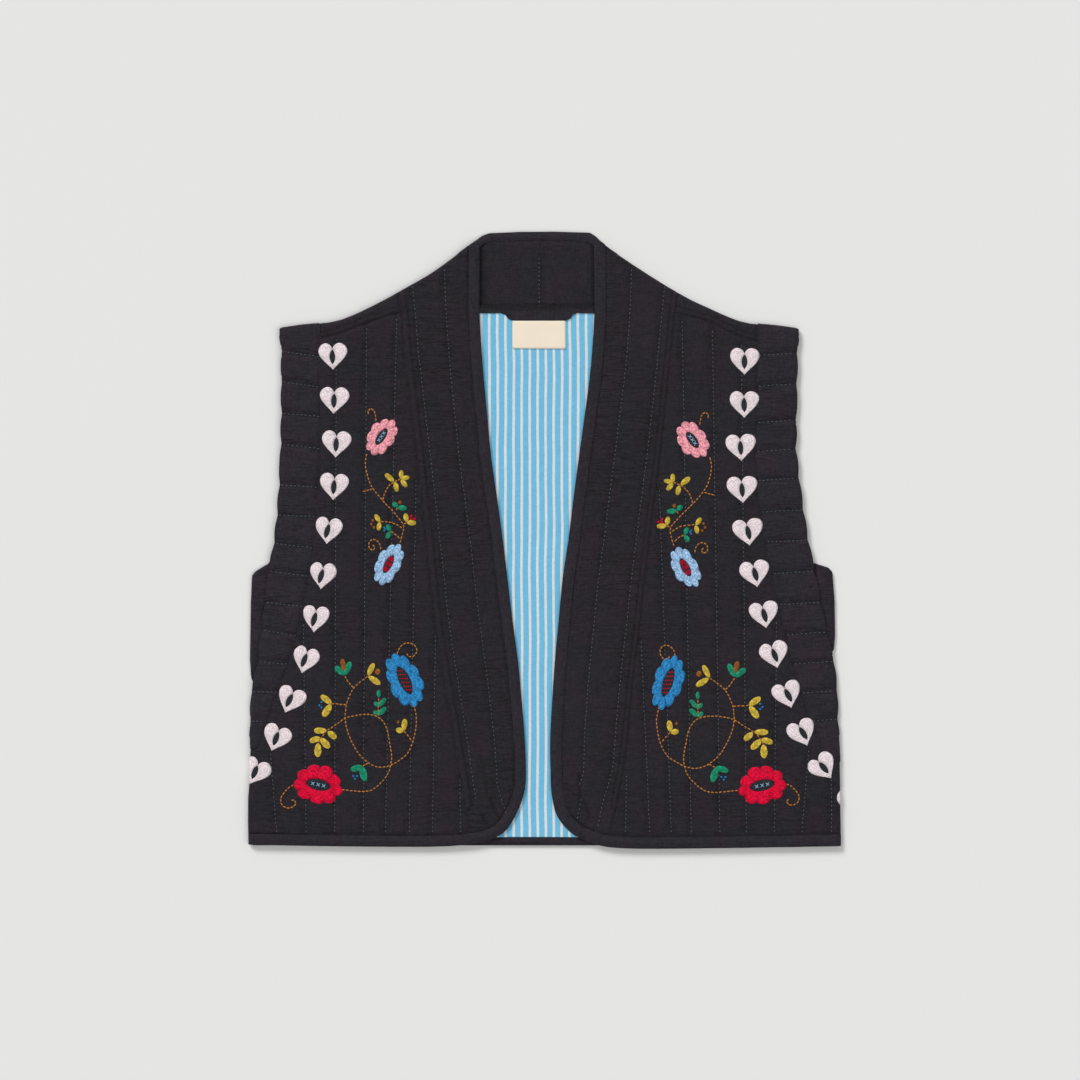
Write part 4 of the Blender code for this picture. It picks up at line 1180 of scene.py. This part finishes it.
class VEST_OT_cloth(bpy.types.Operator):
    """Make the quilted panels, the bindings, the lining, the facing and the label"""

    bl_idname = "vest.cloth"
    bl_label = "Cloth"

    def execute(self, context):
        make_materials()
        made = {node: cloth_piece(node, *row) for node, row in CLOTH.items()}
        for side in SIDES:
            for kind, row in SIDE_CLOTH.items():
                made[f"{kind}_{side}"] = cloth_piece(f"{kind}_{side}", *row)
            declare_sheet(made[f"front_{side}"])
            declare_sheet(made[f"armhole_back_{side}"])
        declare_sheet(made["back_lining"])
        declare_sheet(made["back"])
        gather_surface([piece for node, piece in made.items()
                        if node not in ("back", "neck_facing", "label")])
        return {"FINISHED"}


class VEST_OT_quilting(bpy.types.Operator):
    """Sew the running stitches of the quilting"""

    bl_idname = "vest.quilting"
    bl_label = "Quilting stitches"

    def execute(self, context):
        sizes = context.scene.vest_sizes
        rows = ["neck_band"]
        for side in SIDES:
            rows += [f"front_{side}", f"front_band_{side}", f"armhole_front_{side}"]
        for row in rows:
            mesh = bmesh.new()
            for number, line in enumerate(quilting_lines(row)):
                stitch_line(mesh, line, sizes.quilting_pitch / MM, sizes.quilting_stitch / MM,
                            RUNNING_WIDTH, RUNNING_HEIGHT, 0.18, number + len(row) * 31)
            lay_on(mesh)
            new_piece(f"quilting_{row}", mesh, "running")
        return {"FINISHED"}


class VEST_OT_hearts(bpy.types.Operator):
    """Embroider the row of hearts down each front"""

    bl_idname = "vest.hearts"
    bl_label = "Hearts"

    def execute(self, context):
        height = context.scene.vest_sizes.embroidery_height / MM
        for side in SIDES:
            hearts = bmesh.new()
            slits = bmesh.new()
            spread = random.Random(7 if side == "left" else 11)
            for x, y, turn, width, aside in HEARTS[side]:
                aside += spread.uniform(-0.3, 0.3)
                lean = spread.uniform(-0.05, 0.05)
                edge = partial(heart_outline, width=width, lean=lean)
                slit = partial(slit_outline, aside=aside)
                middle = partial(slit_middle, aside=aside)
                place = (Vector((x, y)), math.radians(turn))
                place_mesh(hearts, sewn_ring(edge, slit, *HEART_CUTS, height), *place)
                place_mesh(slits, sewn_ring(slit, middle, *SLIT_CUTS, height * 0.35), *place)
            for mesh, name, colour in ((hearts, "hearts", "rose_white"),
                                       (slits, "heart_slits", "slate")):
                lay_on(mesh, side)
                new_piece(f"{name}_{side}", mesh, colour)
        return {"FINISHED"}


class VEST_OT_flowers(bpy.types.Operator):
    """Embroider the flowers and the small stitches in their eyes"""

    bl_idname = "vest.flowers"
    bl_label = "Flowers"

    def execute(self, context):
        height = context.scene.vest_sizes.embroidery_height / MM
        for side in SIDES:
            for sprig, colour, count, fill, eye_long, eye_wide, places in FLOWERS:
                x, y, long, wide, turn = places[side]
                eye_wide *= wide / places["left"][3]
                tilt = math.radians(turn)
                middle = sprig_place(sprig, side, x, y)
                eye = oval(eye_long, eye_wide)
                ring = sewn_ring(petals(long, wide, count, PETAL_SHIFT), eye, *FLOWER_CUTS,
                                 height * 1.2, petal_creases(count, PETAL_SHIFT))
                for patch, name, thread in (
                        (ring, "flower", colour),
                        (solid_patch(eye, EYE_CUTS, height * 0.3), "flower_eye", "slate")):
                    mesh = bmesh.new()
                    place_mesh(mesh, patch, middle, tilt, INWARD[side])
                    lay_on(mesh)
                    new_piece(f"{name}_{colour}_{side}", mesh, thread)
                sew_eye(side, colour, fill, middle, tilt, eye_long, eye_wide)
        return {"FINISHED"}


def sew_eye(side, colour, fill, middle, tilt, half_length, half_width):
    """The small stitches in a flower's eye: crosses, blocks or rows."""
    mesh = bmesh.new()
    along = Vector((math.cos(tilt), math.sin(tilt)))
    across = Vector((-along.y, along.x))
    if fill == "crosses":
        for place in CROSS_PLACES:
            centre_point = middle + along * place * half_length
            for slant in (-1.0, 1.0):
                arm = (along + across * slant) * min(half_width * 0.5, 1.9)
                stitch_line(mesh, [centre_point - arm, centre_point + arm], 9.0, arm.length * 2.2,
                            *CROSS_STITCH, 0.0, 3)
    else:
        blocks = fill == "red_blocks"
        count = 3 if blocks else 6
        aim = across if blocks else Vector((INWARD[side], 0.0))
        for number in range(count):
            place = (number + 0.5) / count * 2 - 1
            centre_point = middle + along * place * half_length * BLOCK_REACH
            reach = half_width * 0.9 * (1 - (place * BLOCK_REACH) ** 2) ** 0.5
            for shift in BLOCK_SHIFTS if blocks else (0.0,):
                start = centre_point + along * shift
                stitch_line(mesh, [start - aim * reach, start + aim * reach], 2.0, 2.0,
                            *BLOCK_STITCH, 0.1, number)
    lay_on(mesh)
    mesh.loops.layers.uv.new("thread")
    new_piece(f"flower_stitches_{colour}_{side}", mesh, "pale_blue" if fill == "crosses" else "red")


class VEST_OT_sprigs(bpy.types.Operator):
    """Embroider the stems, leaves and knots of the sprigs"""

    bl_idname = "vest.sprigs"
    bl_label = "Stems, leaves and knots"

    def execute(self, context):
        sizes = context.scene.vest_sizes
        height = sizes.embroidery_height / MM
        pitch = sizes.stem_pitch / MM
        for side in SIDES:
            stems = bmesh.new()
            for sprig, lines in STEMS.items():
                for number, line in enumerate(lines):
                    if side == "right":
                        line = RIGHT_CURLS.get((sprig, number), line)
                    course = [sprig_place(sprig, side, x, y) for x, y in line]
                    stitch_line(stems, course, pitch, pitch * STEM_FILL, STEM_WIDTH, height * 1.2,
                                0.12, number)
            lay_on(stems)
            new_piece(f"stems_{side}", stems, "stem")
            for colour in ("yellow", "green", "brown", "red", "blue"):
                mesh = bmesh.new()
                mesh.loops.layers.uv.new("thread")
                for sprig, rows in LEAVES.items():
                    for x0, y0, x1, y1, width in rows.get(colour, ()):
                        start = sprig_place(sprig, side, x0, y0)
                        course = sprig_place(sprig, side, x1, y1) - start
                        place_mesh(mesh, make_leaf(course.length, width, height * 1.3), start,
                                   math.atan2(course.y, course.x))
                for sprig, rows in KNOTS.items():
                    for radius, x, y in rows.get(colour, ()):
                        start = sprig_place(sprig, side, x, y) - Vector((radius, 0.0))
                        knot = make_leaf(radius * 2, radius * 2, height * 1.6)
                        place_mesh(mesh, knot, start, 0.0)
                lay_on(mesh)
                new_piece(f"leaves_and_knots_{colour}_{side}", mesh, colour)
        return {"FINISHED"}


class VEST_OT_stage(bpy.types.Operator):
    """Set the pale floor, the soft light and the camera straight above"""

    bl_idname = "vest.stage"
    bl_label = "Floor, light and camera"

    def execute(self, context):
        scene = context.scene
        colours = scene.vest_colours
        mesh = bmesh.new()
        bmesh.ops.create_grid(mesh, x_segments=1, y_segments=1, size=FLOOR_SIZE)
        data = bpy.data.meshes.new("floor")
        mesh.to_mesh(data)
        mesh.free()
        material, tree, place = new_material("pale matt paper", 0.9, 0.0, 0.2)
        pale = Vector(colours.floor[:3])
        colour = blend(tree, grain(tree, place, 2.0, 1.0), (*(pale * 0.995), 1.0), (*pale, 1.0))
        data.materials.append(dress(material, colour))
        floor = bpy.data.objects.new("floor", data)
        floor.location.z = -0.0003
        scene.collection.objects.link(floor)
        for name, (place, spread, share) in LIGHTS.items():
            lamp = bpy.data.lights.new(name, "SUN")
            lamp.angle = math.radians(spread)
            lamp.energy = colours.key_strength * share
            light = bpy.data.objects.new(name, lamp)
            light.location = place
            light.rotation_euler = (-Vector(place)).to_track_quat("-Z", "Y").to_euler()
            scene.collection.objects.link(light)
        world = bpy.data.worlds.new("studio")
        world.use_nodes = True
        background = world.node_tree.nodes["Background"].inputs
        background[0].default_value = (1.0, 1.0, 1.0, 1.0)
        background[1].default_value = WORLD_LIGHT
        scene.world = world
        scene.view_settings.view_transform = "Standard"
        camera = bpy.data.cameras.new("camera")
        camera.lens = scene.vest_sizes.camera_lens
        camera.sensor_width = SENSOR
        eye = bpy.data.objects.new("camera", camera)
        eye.location = (VIEW_CENTRE[0] * MM, VIEW_CENTRE[1] * MM,
                        VIEW_WIDTH * MM * camera.lens / SENSOR)
        scene.collection.objects.link(eye)
        scene.camera = eye
        return {"FINISHED"}


class VEST_PT_panel(bpy.types.Panel):
    """The vest's sizes, colours and making steps"""

    bl_idname = "VEST_PT_panel"
    bl_label = "Quilted vest"
    bl_space_type = "VIEW_3D"
    bl_region_type = "UI"
    bl_category = "Vest"

    def draw(self, context):
        for group in (context.scene.vest_sizes, context.scene.vest_colours):
            for name in group.__annotations__:
                self.layout.prop(group, name)
        for operator in OPERATORS:
            self.layout.operator(operator.bl_idname)


OPERATORS = (VEST_OT_cloth, VEST_OT_quilting, VEST_OT_hearts, VEST_OT_flowers, VEST_OT_sprigs,
             VEST_OT_stage)
CLASSES = (VestSizes, VestColours, *OPERATORS, VEST_PT_panel)


def register():
    """Add the vest's classes and properties to Blender."""
    for cls in CLASSES:
        bpy.utils.register_class(cls)
    bpy.types.Scene.vest_sizes = PointerProperty(type=VestSizes)
    bpy.types.Scene.vest_colours = PointerProperty(type=VestColours)


def unregister():
    """Take the vest's classes and properties out of Blender."""
    del bpy.types.Scene.vest_colours
    del bpy.types.Scene.vest_sizes
    for cls in reversed(CLASSES):
        bpy.utils.unregister_class(cls)


def main():
    """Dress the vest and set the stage."""
    register()
    bpy.ops.vest.cloth()
    bpy.ops.vest.quilting()
    bpy.ops.vest.hearts()
    bpy.ops.vest.flowers()
    bpy.ops.vest.sprigs()
    bpy.ops.vest.stage()


if __name__ == "__main__":
    main()
